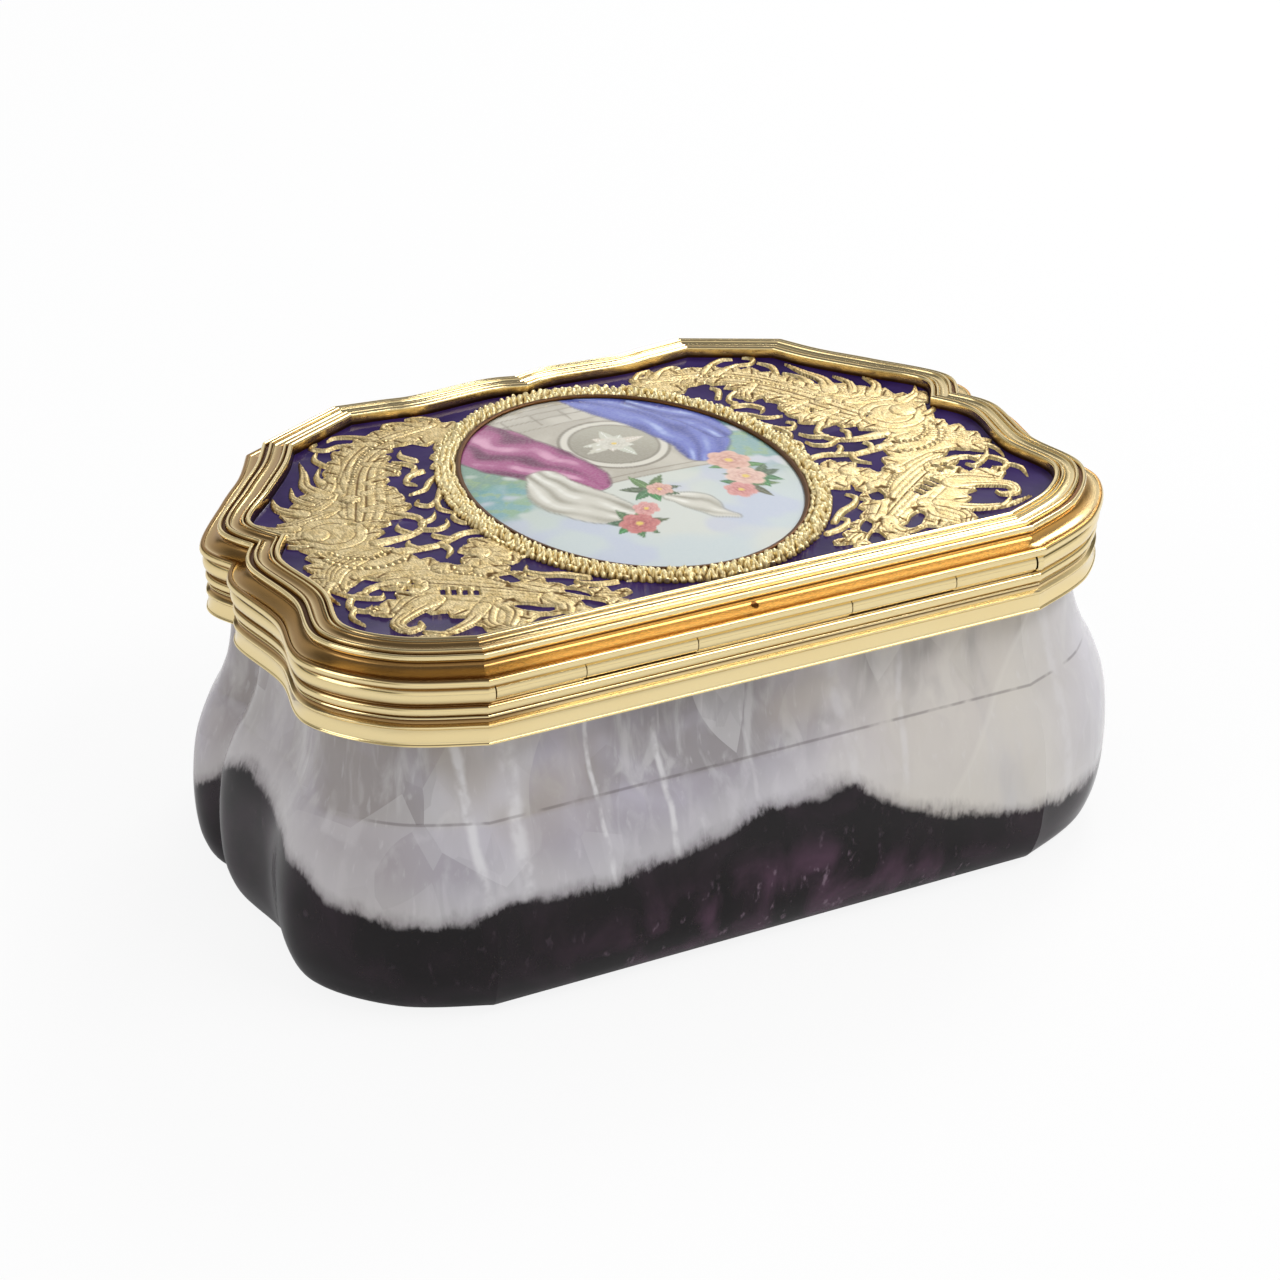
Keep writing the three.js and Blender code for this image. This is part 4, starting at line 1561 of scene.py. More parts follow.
    def pierce(self, x: float, y: float, half_long: float, half_wide: float, turn: float) -> None:
        """Pierces a small slot down to the enamel.

        Args:
            x: its middle.
            y: its middle.
            half_long: half its length.
            half_wide: half its width.
            turn: the angle of its length from X.
        """
        along, across = turned(self.x - x, self.y - y, turn)
        inside = np.minimum(half_long - np.abs(along), half_wide - np.abs(across))
        self.height = self.height + (self.FLOOR - self.height) * ease(inside, -0.06, 0.05)

    def trim(self, inside: Array) -> None:
        """Keeps only what lies inside an edge."""
        keep = ease(inside, -0.02, 0.12)
        self.height = self.FLOOR + (self.height - self.FLOOR) * keep


def beside_loop(x: Array, y: Array, loop: Array) -> tuple[Array, Array]:
    """How points lie to a closed loop.

    Args:
        x: their places.
        y: their places.
        loop: the loop's points.

    Returns:
        How far each lies inside it, negative outside, and how far along it the nearest place is.
    """
    ends = np.roll(loop, -1, axis=0)
    crossed = np.zeros(len(x), dtype=bool)
    nearest = np.full(len(x), np.inf)
    along = np.zeros(len(x))
    travelled = 0.0
    for (ax, ay), (bx, by) in zip(loop, ends):
        spans = (ay > y) != (by > y)
        if ay != by:
            crossed ^= spans & (x < ax + (y - ay) / (by - ay) * (bx - ax))
        square = max((bx - ax) ** 2 + (by - ay) ** 2, 1e-12)
        share = np.clip(((x - ax) * (bx - ax) + (y - ay) * (by - ay)) / square, 0, 1)
        gap = np.hypot(x - ax - share * (bx - ax), y - ay - share * (by - ay))
        closer = gap < nearest
        nearest = np.where(closer, gap, nearest)
        along = np.where(closer, travelled + share * math.sqrt(square), along)
        travelled += math.sqrt(square)
    return np.where(crossed, nearest, -nearest), along


@dataclass(frozen=True)
class Scrollwork:
    """The pierced and chased gold on each side of the oval. Shapes are given on the right."""

    levels: Levels
    outline: Cartouche
    oval: Oval
    cell: float = 0.12
    inner_x: float = 9.0
    under_wreath: float = 2.1
    to_frame: float = 0.04
    sole: float = 0.22
    windows: tuple = (
        ((-1, 25), (-1, 17), (8.8, 18.2), (10.4, 19.6), (12.8, 20.4), (15.6, 20.2), (18.2, 19.4),
         (20.8, 17.8), (23, 15.6), (24.6, 13), (26, 11), (28.2, 10.2), (30, 8.2), (31.2, 6),
         (33, 4.8), (38, 6), (34, 18), (20, 26)),
        ((32.1, 3.2), (32.2, 0.8), (31.9, -1.6), (32.7, -3.6), (33.5, -6), (33, -8.2), (31.3, -8.3),
         (29.7, -7.3), (28.1, -8.3), (28.4, -9.5), (27.7, -11), (28.8, -12.2), (30.6, -12.5),
         (31.2, -14), (29.2, -14.7), (26.8, -15.2), (25, -17), (24.3, -19.2), (24, -23), (34, -24),
         (38, -8), (37, 3)),
        ((12.6, 15.4), (14.4, 16.1), (15.8, 16.3), (17.6, 15.6), (18.4, 13.8), (17.7, 12.2),
         (18, 11.2), (19.4, 10.9), (20.3, 9.4), (19.8, 7.8), (20, 5.6), (21, 3.4), (23.2, 2.1),
         (25, 0.4), (25.5, -2.4), (24.4, -4.9), (22.8, -6.9), (21.2, -8.6), (19.9, -7.2),
         (18.9, -5.4), (17.3, -4.8), (15.6, -4.6), (15.4, 0), (15.4, 6), (14.4, 11)),
        ((17.5, -9.6), (16.2, -9.8), (14.4, -9.8), (12.4, -13), (9.4, -17), (6.5, -18.6),
         (8.6, -20.2), (10.9, -19.2), (13.2, -17.4), (15.4, -15.2), (16.9, -12.9), (17.8, -10.9)),
        ((14.9, -16.6), (14, -17.3), (13.4, -18.5), (13.7, -18.9), (14.4, -18.2), (15.2, -17.4)),
        ((17, -20.6), (18.8, -20.2), (20.8, -20.8), (21.2, -21.5), (18.6, -21.6), (16.8, -21.4)),
        ((17.9, -12), (19, -11.9), (18.6, -13.7), (17.6, -13.4)),
        ((17.2, -19.1), (18.4, -18.2), (19.9, -17.3), (20, -18.1), (18.9, -19.3), (17.6, -19.8)),
        ((12.8, -24), (13, -20.4), (14.2, -19), (14.9, -19.3), (14.5, -20.8), (14.6, -24)),
        ((-1, -25), (-1, -18), (8.8, -18.6), (10.6, -19.4), (11.6, -20.8), (11.8, -25)),
    )
    tendrils: tuple[Stroke, ...] = (
        Stroke(((18, 17.4, 1.08), (20.8, 18.5, 0.54), (22.4, 18.3, 0.47), (23.3, 19.3, 0.54),
                (22.5, 19.9, 0.16))),
        Stroke(((12.4, 19.4, 0.94), (13.8, 20.6, 0.54), (15.2, 20.9, 0.47), (15.6, 20.2, 0.41),
                (14.8, 20, 0.16))),
        Stroke(((26.2, 9.2, 1.62), (26.9, 11.8, 1.22), (26.1, 14.2, 0.81), (25.5, 16.8, 0.16)), 2),
        Stroke(((25.4, 11.8, 0.94), (25.2, 13.4, 0.54), (24.2, 15, 0.16))),
        Stroke(((29.4, 6.6, 1.49), (30.9, 8.6, 0.94), (30.6, 11, 0.16)), 2),
        Stroke(((31.2, 4.2, 1.35), (33, 5, 0.81), (34.2, 6.8, 0.16)), 2),
        Stroke(((26.8, -9.4, 1.35), (28.6, -9, 0.81), (30.2, -9.4, 0.68), (30.6, -10.6, 0.61),
                (29.6, -11.2, 0.54), (29.1, -10.5, 0.16))),
        Stroke(((30.3, -9.6, 0.54), (31.9, -10.2, 0.68), (32.6, -11.8, 0.61), (31.6, -12.9, 0.54),
                (30.9, -12.2, 0.16))),
        Stroke(((32.4, -12, 0.47), (33.2, -13.4, 0.54), (32.8, -15.2, 0.16))),
        Stroke(((30.6, -10.8, 0.54), (31.8, -9.8, 0.54), (32.6, -8.6, 0.16))),
        Stroke(((25.8, -13.6, 2.03), (28.2, -14.6, 1.62), (30.2, -16, 1.35), (30, -17.6, 0.94),
                (28.7, -17.5, 0.68), (28.5, -16.8, 0.41)), 3),
        Stroke(((22.6, -16.6, 1.35), (24.8, -18.6, 1.22), (27.8, -19.5, 0.68),
                (30.8, -18.9, 0.16)), 2),
        Stroke(((27.4, -19.5, 0.41), (28.6, -18.7, 0.47), (28.9, -18.3, 0.16))),
        Stroke(((16.2, 6, 0.68), (17.4, 4.2, 0.61), (18.6, 3.4, 0.54), (19.4, 4.2, 0.41),
                (18.9, 4.9, 0.16))),
        Stroke(((17.4, 4.2, 0.47), (17.9, 2.4, 0.54), (17.1, 1, 0.16))),
        Stroke(((21.6, 3, 0.81), (20.4, 1.5, 0.68), (20.9, -0.3, 0.68), (22.6, -1.3, 0.74),
                (25.8, -1.5, 1.22))),
        Stroke(((20.7, 0.4, 0.54), (19.4, 0.9, 0.54), (18.6, 2, 0.16))),
        Stroke(((21.2, -0.7, 0.54), (19.9, -1.3, 0.61), (18.7, -0.8, 0.47), (18.3, 0.2, 0.16))),
        Stroke(((22.2, -1.1, 0.54), (22.9, 0.2, 0.61), (22.6, 1.1, 0.16))),
        Stroke(((16.4, -3.4, 0.68), (18, -3, 0.68), (19.8, -3.6, 0.74), (21.4, -4.2, 0.68),
                (24.8, -3.8, 1.08))),
        Stroke(((19.6, -3.5, 0.54), (20.6, -2.4, 0.54), (20.5, -1.9, 0.16))),
        Stroke(((20.8, -4, 0.54), (20.5, -5.4, 0.61), (21.4, -6.6, 0.16))),
        Stroke(((22.8, -4.2, 0.54), (23.4, -3, 0.54), (23, -2.3, 0.16))),
        Stroke(((15.8, 12.6, 0.68), (16.6, 14, 0.61), (16.2, 15, 0.16))),
        Stroke(((16.2, 10.2, 0.68), (17.6, 9.8, 0.68), (18.4, 8.6, 0.54), (17.8, 7.8, 0.16))),
        Stroke(((12.2, -15.6, 0.7), (13.8, -14.2, 0.8), (15.4, -13.4, 0.7), (16.4, -12.2, 0.5),
                (15.9, -11.2, 0.16))),
        Stroke(((10.4, -17.4, 0.6), (12.2, -17, 0.7), (13.4, -16, 0.5), (13, -15.2, 0.16))),
        Stroke(((10.6, 20, 0.5), (11.6, 20.9, 0.6), (13, 21.2, 0.16))),
        Stroke(((17.2, 18.2, 0.6), (18.6, 19.6, 0.6), (20.4, 20.4, 0.5), (21.4, 20, 0.16))),
        Stroke(((16, 3.4, 0.5), (16.6, 1.6, 0.6), (17.6, 0.2, 0.55), (17.2, -1.2, 0.4),
                (16.4, -0.9, 0.16))),
        Stroke(((15.6, 8.6, 0.5), (16.6, 7.8, 0.6), (17.6, 6.6, 0.5), (19.2, 6.2, 0.16))),
        Stroke(((17.8, 13, 0.5), (16.8, 12.2, 0.6), (16.4, 11.2, 0.45), (17, 10.8, 0.16))),
        Stroke(((28, 8, 0.8), (28.8, 10, 0.7), (28.2, 12.2, 0.16)), 2),
        Stroke(((23.6, 15, 0.6), (24, 16.8, 0.6), (23.2, 18.2, 0.16))),
        Stroke(((31.6, 0.6, 0.6), (33, 1.4, 0.5), (33.6, 3.2, 0.16))),
        Stroke(((32.4, -7, 0.7), (33.4, -8.6, 0.5), (33.2, -10.6, 0.16))),
    )
    plume: tuple[Stroke, ...] = (
        Stroke(((11.4, 19, 1.2), (15.4, 18.6, 2.2), (18.8, 17.2, 2.8), (21.6, 14.6, 2.6),
                (23.6, 11.6, 1.6)), 4, 6),
        Stroke(((13.6, 17, 1), (17.6, 15.6, 2.6), (20.6, 12.8, 3.6), (22.6, 9.2, 4.2),
                (24.2, 5.6, 4.4), (25.8, 2.4, 3)), 5, 7, 0.245),
        Stroke(((22.2, 15.8, 0.6), (23.6, 13.8, 1.6), (24.8, 11.6, 0.9)), 4),
        Stroke(((24.2, 12.2, 0.8), (25.8, 10.4, 1.9), (27.6, 9.4, 0.9)), 4),
        Stroke(((25.4, 9, 0.9), (27.6, 7.8, 2.2), (29.8, 7, 1.1)), 6, 3),
        Stroke(((26.4, 6.2, 1), (28.8, 5.6, 2), (31.2, 5, 1.2)), 5, 3),
        Stroke(((20.2, 13.6, 0.9), (18.6, 12.6, 1.5), (17.9, 11.4, 1.1)), 3),
        Stroke(((21.6, 9.8, 1), (19.8, 10.4, 1.2), (18.6, 11.4, 0.7)), 3),
        Stroke(((22.6, 8, 1), (20.4, 7.6, 1.6), (19.2, 6.4, 0.9)), 4, 2),
        Stroke(((24, 4.8, 1.2), (21.8, 4.4, 1.6), (20.4, 3.4, 0.8)), 4, 2),
        Stroke(((25.4, 2.4, 1), (23.6, 1.8, 1.4), (22.4, 1.4, 0.8)), 3),
    )
    straps: tuple[Stroke, ...] = (
        Stroke(((26.6, -3.2, 1.2), (29.2, -3.6, 2.6), (31.4, -4.9, 2.6), (32.6, -7.2, 1.6)), 6, 4),
        Stroke(((30.4, -8, 1.6), (27, -9.4, 4.2), (23, -12, 5.4), (18.6, -15.4, 4.6),
                (14.4, -19, 2.4)), 8, 0, 0.235),
        Stroke(((19.6, -10.6, 2), (17.8, -14.2, 1.6), (15.4, -17.2, 1.4), (12.8, -19.8, 1)), 2),
        Stroke(((24.4, -12.4, 1.6), (27, -13, 2.2), (29, -14.2, 1.5)), 3),
        Stroke(((21.6, -16.2, 2), (22.8, -17.6, 2), (23.6, -19.6, 1.6), (22.6, -21.2, 1)), 3, 3),
        Stroke(((20.8, -17, 1.6), (20.6, -18.6, 1.4), (21.8, -20.4, 1)), 2),
        Stroke(((16.6, -17.6, 1.6), (16.2, -19.6, 1.4), (17.2, -21.4, 0.9)), 2),
        Stroke(((9.4, -21.4, 1.2), (11.8, -19.4, 1), (13.4, -18.6, 0.8)), 2),
    )
    fan: tuple[Boss, ...] = (Boss(28.6, 1.75, 3.1, 3, 0, 0.24), Boss(30, 2.1, 1.25, 0, 0, 0.31))
    shells: tuple[Boss, ...] = (
        Boss(18.6, -7.4, 2.9, 2, 11, 0.24), Boss(18.6, -7.4, 1, 0, 0, 0.33),
        Boss(26.6, -10.4, 1.7, 1, 8, 0.25), Boss(24.4, 7.4, 0.9, 1, 6, 0.31),
        Boss(31.2, -12.9, 0.5, 0, 0, 0.28), Boss(22.6, -8.6, 1.1, 1, 6, 0.26),
        Boss(15, 16.6, 1, 1, 6, 0.27),
    )
    beads: tuple[Beading, ...] = (
        Beading(((25, -5.5), (27, -6), (29.4, -5.2), (30.9, -3.2), (31.2, -0.8)), 0.3, 0.7),
        Beading(((25.6, -3.6), (27.4, -4.1), (29.2, -3.3), (30.2, -1.6)), 0.24, 0.58),
        Beading(((16.6, 17.6), (19, 16.2), (21.4, 13.4), (23, 10.4)), 0.2, 0.52),
        Beading(((22, -9.8), (20.2, -11.6), (18.6, -13.8)), 0.2, 0.54),
    )
    slot_middle: tuple[float, float] = (23.2, -13.2)
    slot_pitch: float = 0.95
    slot_turn: float = 0.5
    slot_count: int = 4
    slot_half: tuple[float, float] = (0.66, 0.25)
    slot_lean: float = math.pi / 2 - 0.15
    small_slots: tuple = ((26.4, 2.7, 0.42, 0.13, 0.7), (22.2, 5.9, 0.34, 0.1, 1.2))
    flower: tuple[float, float] = (26.6, -10.4)
    flower_reach: float = 0.62
    flower_half: tuple[float, float] = (0.34, 0.2)
    ground: float = 0.22
    lobe_pitch: float = 2.0
    lobe_depth: float = 0.72

    def relief(self, x: Array, y: Array) -> Relief:
        """The whole relief of the right side.

        Args:
            x: the places that are wanted.
            y: the same places along Y.

        Returns:
            Their heights and soil.
        """
        made = Relief(x, y)
        edge = beside_loop(x, y, self.outline.loop(-self.to_frame))[0]
        made.spread(edge, self.ground)
        for lay, shapes in ((made.stroke, self.plume), (made.boss, self.fan),
                            (made.stroke, self.straps), (made.boss, self.shells),
                            (made.beading, self.beads)):
            for shape in shapes:
                lay(shape)
        made.open(self.opened(made))
        for stroke in self.tendrils:
            made.stroke(stroke)
        for slot in self.slots():
            made.pierce(*slot)
        made.trim(edge)
        made.trim(-self.oval.inside(x, y, self.under_wreath))
        return made

    def opened(self, made: Relief) -> Array:
        """Engraves the windows' edges.

        Args:
            made: the relief so far.

        Returns:
            How far each place lies inside a window.
        """
        opened = np.full(len(made.x), -np.inf)
        for places in self.windows:
            loop = spline([*places, places[0]], 6)[:-1]
            inside, along = beside_loop(made.x, made.y, loop)
            length = np.linalg.norm(np.roll(loop, -1, axis=0) - loop, axis=1).sum()
            lobes = max(3, round(length / self.lobe_pitch))
            depth = min(self.lobe_depth, 0.03 * length)
            opened = np.maximum(opened, made.leafy(inside, along / length * lobes, depth))
        return opened

    def slots(self) -> list[tuple]:
        """The small openings: a row of slots, two single ones and a flower of four."""
        found = []
        for i in range(self.slot_count):
            shift = (i - (self.slot_count - 1) / 2) * self.slot_pitch
            found.append((self.slot_middle[0] + shift * math.cos(self.slot_turn),
                          self.slot_middle[1] + shift * math.sin(self.slot_turn),
                          *self.slot_half, self.slot_turn + self.slot_lean))
        found.extend(self.small_slots)
        for i in range(4):
            turn = math.pi / 4 + i * math.pi / 2
            found.append((self.flower[0] + self.flower_reach * math.cos(turn),
                          self.flower[1] + self.flower_reach * math.sin(turn),
                          *self.flower_half, turn))
        return found

    def build(self) -> None:
        """Makes both sides and dresses them."""
        right = self.side()
        left = right.copy()
        left.data = right.data.copy()
        left.name = left.data.name = "scrolls_left"
        bpy.context.scene.collection.objects.link(left)
        only(left)
        edit()
        bpy.ops.transform.resize(value=(-1.0, 1.0, 1.0), center_override=(0.0, 0.0, 0.0))
        leave_edit()
        finish(right, Body.LID, Slot.CHASED, "scroll_right")
        finish(left, Body.LID, Slot.CHASED, "scroll_left")

    def side(self) -> Piece:
        """Makes the right side as one closed relief."""
        low, high = self.outline.loop(0.0).min(axis=0), self.outline.loop(0.0).max(axis=0)
        start, end = np.array([self.inner_x, low[1]]), high
        columns, rows = (int(count) for count in (end - start) / self.cell)
        deselect()
        bpy.ops.mesh.primitive_grid_add(x_subdivisions=columns, y_subdivisions=rows, size=1.0)
        piece = bpy.context.object
        piece.name = piece.data.name = "scrolls_right"
        places = get_places(piece) * MM
        flat = start + (places[:, :2] + 0.5) * (end - start)
        relief = self.relief(flat[:, 0], flat[:, 1])
        gone = relief.height <= relief.FLOOR + 0.004
        set_places(piece, np.column_stack([flat, self.levels.enamel + relief.height]))
        carry(piece, "recess", np.clip(relief.grime_and_shade, 0, 1))
        edit("DESELECT")
        mesh = bmesh.from_edit_mesh(piece.data)
        for face in mesh.faces:
            face.select = all(gone[vertex.index] for vertex in face.verts)
        mesh.select_flush_mode()
        bmesh.update_edit_mesh(piece.data)
        bpy.ops.mesh.delete(type="FACE")
        bpy.ops.mesh.select_all(action="SELECT")
        bpy.ops.mesh.extrude_region_move()
        bottom = (self.levels.enamel - self.sole) * MM
        mesh = bmesh.from_edit_mesh(piece.data)
        for vertex in mesh.verts:
            if vertex.select:
                vertex.co.z = bottom
        bmesh.update_edit_mesh(piece.data)
        bpy.ops.mesh.select_all(action="SELECT")
        leave_edit()
        smooth(piece, 62.0)
        return piece


@dataclass(frozen=True)
class Wreath:
    """The chased border round the oval: rows of small leaves and berries, none quite alike.

    Each row gives how far across it lies, where it starts along the border, half the length
    and half the width of its leaves, and how high they rise.
    """

    levels: Levels
    oval: Oval
    inner: float = 0.34
    width: float = 2.01
    seat: float = 1.45
    height: float = 1.25
    leaves: int = 92
    leaf_depth: float = 0.3
    stations: int = 16
    rings: int = 22
    rows: tuple = ((0.14, 0.0, 0.3, 0.29, 0.42), (0.4, 0.25, 0.36, 0.29, 0.62),
                   (0.65, 0.0, 0.34, 0.3, 0.54), (0.87, 0.25, 0.3, 0.28, 0.34))

    def crest(self, across: Array, turn: Array) -> tuple[Array, Array]:
        """The height of the top and its share of grime and painted shade.

        Args:
            across: 0 at the inner edge and 1 at the outer.
            turn: leaves passed, as a number.

        Returns:
            The height over the plate and how much grime and painted shade lie there, below 0 on the
            knobs' tops where a painted highlight goes.
        """
        leaf = np.floor(turn)
        share = turn - leaf
        middle_radius = math.sqrt((self.oval.half_x ** 2 + self.oval.half_y ** 2) / 2)
        pitch = 2 * math.pi * middle_radius / self.leaves
        height = 0.36 + 0.2 * np.sin(math.pi * np.clip(across * 0.84 + 0.16, 0, 1)) ** 0.7
        # Grime and painted shade between the knobs.
        grime_and_shade = np.full(len(turn), 0.6)
        for depth, start, long, wide, rise in self.rows:
            for shift in (-1.0, 0.0, 1.0):
                for half in (0.0, 0.5):
                    luck = chance(2 * (leaf + shift) + 2 * half, depth * 78.233)
                    other = (luck * 7.31) % 1.0
                    around = (share - (shift + half + start + (luck - 0.5) * 0.22)) * pitch
                    reach = (across - depth - (other - 0.5) * 0.15) * self.width
                    lean = 0.5 * (other - 0.5) * reach
                    away = np.hypot((around + lean) / wide, reach / long) / (0.82 + 0.36 * other)
                    knob = np.sqrt(np.clip(1 - away ** 2, 0, 1))
                    tall = 0.46 + rise * (0.85 + 0.8 * luck) * knob
                    own = away < 1
                    # A knob's top goes below 0 for a painted highlight, and its foot gets painted
                    # shade.
                    grime_and_shade = np.where(own & (tall > height), 1.3 * ease(away, 0.7, 1.0) - 0.9, grime_and_shade)
                    height = np.where(own, np.maximum(height, tall), height)
        return height, grime_and_shade

    def build(self) -> None:
        """Makes the wreath and dresses it."""
        count = self.leaves * self.stations
        angle = np.arange(count) / count * 2 * math.pi
        turn = np.arange(count) / self.stations
        plate = self.levels.plate
        scallop = self.leaf_depth * (1 - np.abs(np.sin(2 * math.pi * turn)) ** 0.6)
        loops = [at_height(self.oval.at(angle, self.inner), plate),
                 at_height(self.oval.at(angle, self.seat), plate)]
        # The wreath's foot and walls are darkened as painted shade.
        grime_and_shade_rows = [np.ones(count), np.ones(count)]
        brim = self.inner + self.width - scallop
        loops.append(at_height(self.oval.at(angle, brim), self.levels.enamel))
        grime_and_shade_rows.append(np.ones(count))
        for k in range(self.rings, -1, -1):
            across = k / self.rings
            height, grime_and_shade = self.crest(np.full(count, across), turn)
            edge = self.oval.at(angle, self.inner + across * (self.width - scallop))
            top = np.maximum(plate + height, self.levels.enamel + 0.04)
            loops.append(np.column_stack([edge, np.minimum(top, plate + self.height)]))
            grime_and_shade_rows.append(grime_and_shade)
        piece = sweep("leaf_border", loops, ring=True)
        mark(piece, "recess", np.array(grime_and_shade_rows))
        smooth(piece, 50.0)
        finish(piece, Body.LID, Slot.CHASED, "wreath")


# The plaque


class Scene2D:
    """Colours laid over one another at some places, as a painter lays them."""

    PETALS = 6
    EYE = (0.75, 0.55, 0.12)

    def __init__(self, x: Array, y: Array) -> None:
        """Starts a bare ground. X runs to the painter's right and Y up."""
        self.x, self.y = x, y
        self.colour = np.ones((len(x), 3))

    def wash(self, share: Array, colour: Union[Colour, Array]) -> None:
        """Lays a colour, as strongly as the share says."""
        self.colour += (np.asarray(colour) - self.colour) * np.clip(share, 0, 1)[:, None]

    def cloud(self, scale: float, seed: float) -> Array:
        """Soft uneven values.

        Args:
            scale: how fast they change along the picture.
            seed: which pattern is wanted.

        Returns:
            A value of about 0 to 1 for each place.
        """
        total = np.zeros(len(self.x))
        for k in range(1, 6):
            turn = seed + 2.4 * k
            along = turned(self.x, self.y, turn)[0]
            across = turned(self.x, self.y, turn * 1.7)[1]
            swirl = 1.3 * np.sin(across * scale * k ** 0.7)
            total += np.sin(along * scale * k ** 0.8 + seed * k + swirl) / k
        return 0.5 + total / 4.2

    def disc(self, x: float, y: float, wide: float, tall: float, soft: float = 0.12) -> Array:
        """The share of an oval spot."""
        away = np.hypot((self.x - x) / wide, (self.y - y) / tall)
        return 1 - ease(away, 1 - soft, 1 + soft)

    def block(self, low: tuple, high: tuple, soft: float = 0.12) -> Array:
        """How much of an upright box covers each place.

        Args:
            low: its lower left corner.
            high: its upper right corner.
            soft: half the width of its soft edge.

        Returns:
            The share at each place.
        """
        share = np.ones(len(self.x))
        for place, start, end in zip((self.x, self.y), low, high):
            share = share * ease(place, start - soft, start + soft) \
                * (1 - ease(place, end - soft, end + soft))
        return share

    def cloth(self, run: Sequence[tuple], folds: float, tones: Sequence[Colour],
              sway: float) -> None:
        """Paints a length of draped cloth.

        Args:
            run: places and widths along its middle.
            folds: how many folds cross its width.
            tones: its shadow, its colour and its light.
            sway: how much the folds wander.
        """
        line = spline(run, 14)
        places = np.column_stack([self.x, self.y])
        nearest, side, inside = beside_line(places, line[:, :2], line[:, 2])
        reach = nearest / (len(line) - 1)
        inside = inside + 0.35 * (self.cloud(0.9, folds) - 0.5)
        wander = sway * (self.cloud(0.28, folds + 2.0) - 0.5) + 0.7 * np.sin(3.1 * reach + folds)
        fold = np.sin(math.pi * folds * side * (0.6 + 0.8 * self.cloud(0.16, folds)) + 4.2 * wander)
        fold = 0.54 + 0.58 * fold * (0.1 + 1.1 * self.cloud(0.42, folds + 1.0))
        fold = fold * (0.7 + 0.3 * self.cloud(1.3, folds + 5.0)) * (1 - 0.35 * np.abs(side) ** 3)
        dark, plain, light = (np.asarray(tone) for tone in tones)
        tone = dark + (plain - dark) * ease(fold, -0.05, 0.5)[:, None]
        tone = tone + (light - plain) * ease(fold, 0.55, 0.92)[:, None]
        share = ease(inside, -0.1, 0.12)
        self.wash(ease(inside, -0.3, -0.05) * (1 - share) * 0.75, dark * 0.8)
        self.wash(share, tone)

    def flower(self, x: float, y: float, size: float, dark: Colour, light: Colour) -> None:
        """Paints one full bloom with shaded petals round a yellow eye.

        Args:
            x: its middle.
            y: its middle.
            size: its radius.
            dark: the colour between its petals.
            light: the colour of their edges.
        """
        away = np.hypot(self.x - x, self.y - y)
        angle = np.arctan2(self.y - y, self.x - x)
        near = away < size * 1.2
        shadow, glow = np.asarray(dark), np.asarray(light)
        for ring in range(4):
            wave = np.abs(np.cos(self.PETALS * angle / 2 + ring * 0.9 + x))
            edge = size * (1 - 0.24 * ring) * (0.8 + 0.2 * wave)
            shade = ease(away / np.maximum(edge, 1e-6), 0.35, 0.98) * 0.75 + 0.25 * wave
            self.wash((1 - ease(away, edge * 0.94, edge * 1.02)) * near,
                      shadow + (glow - shadow) * shade[:, None])
        self.wash((1 - ease(away, size * 0.12, size * 0.22)) * near, self.EYE)

    def leaf(self, x: float, y: float, turn: float, long: float, wide: float,
             colour: Colour) -> None:
        """Paints one pointed leaf with a pale vein.

        Args:
            x: its foot.
            y: its foot.
            turn: the angle that it points along.
            long: its length.
            wide: half its width.
            colour: its colour.
        """
        along, across = turned(self.x - x, self.y - y, turn)
        half = wide * np.sin(math.pi * np.clip(along / long, 0, 1) ** 0.8)
        share = (1 - ease(np.abs(across) - half, -0.06, 0.06)) * (along > 0)
        self.wash(share * (along < long), colour)
        vein = line_share(across, 0.02, 0.08) * (along > 0) * (along < long * 0.9)
        self.wash(vein * 0.5, tuple(min(1.0, part * 2.2 + 0.05) for part in colour))


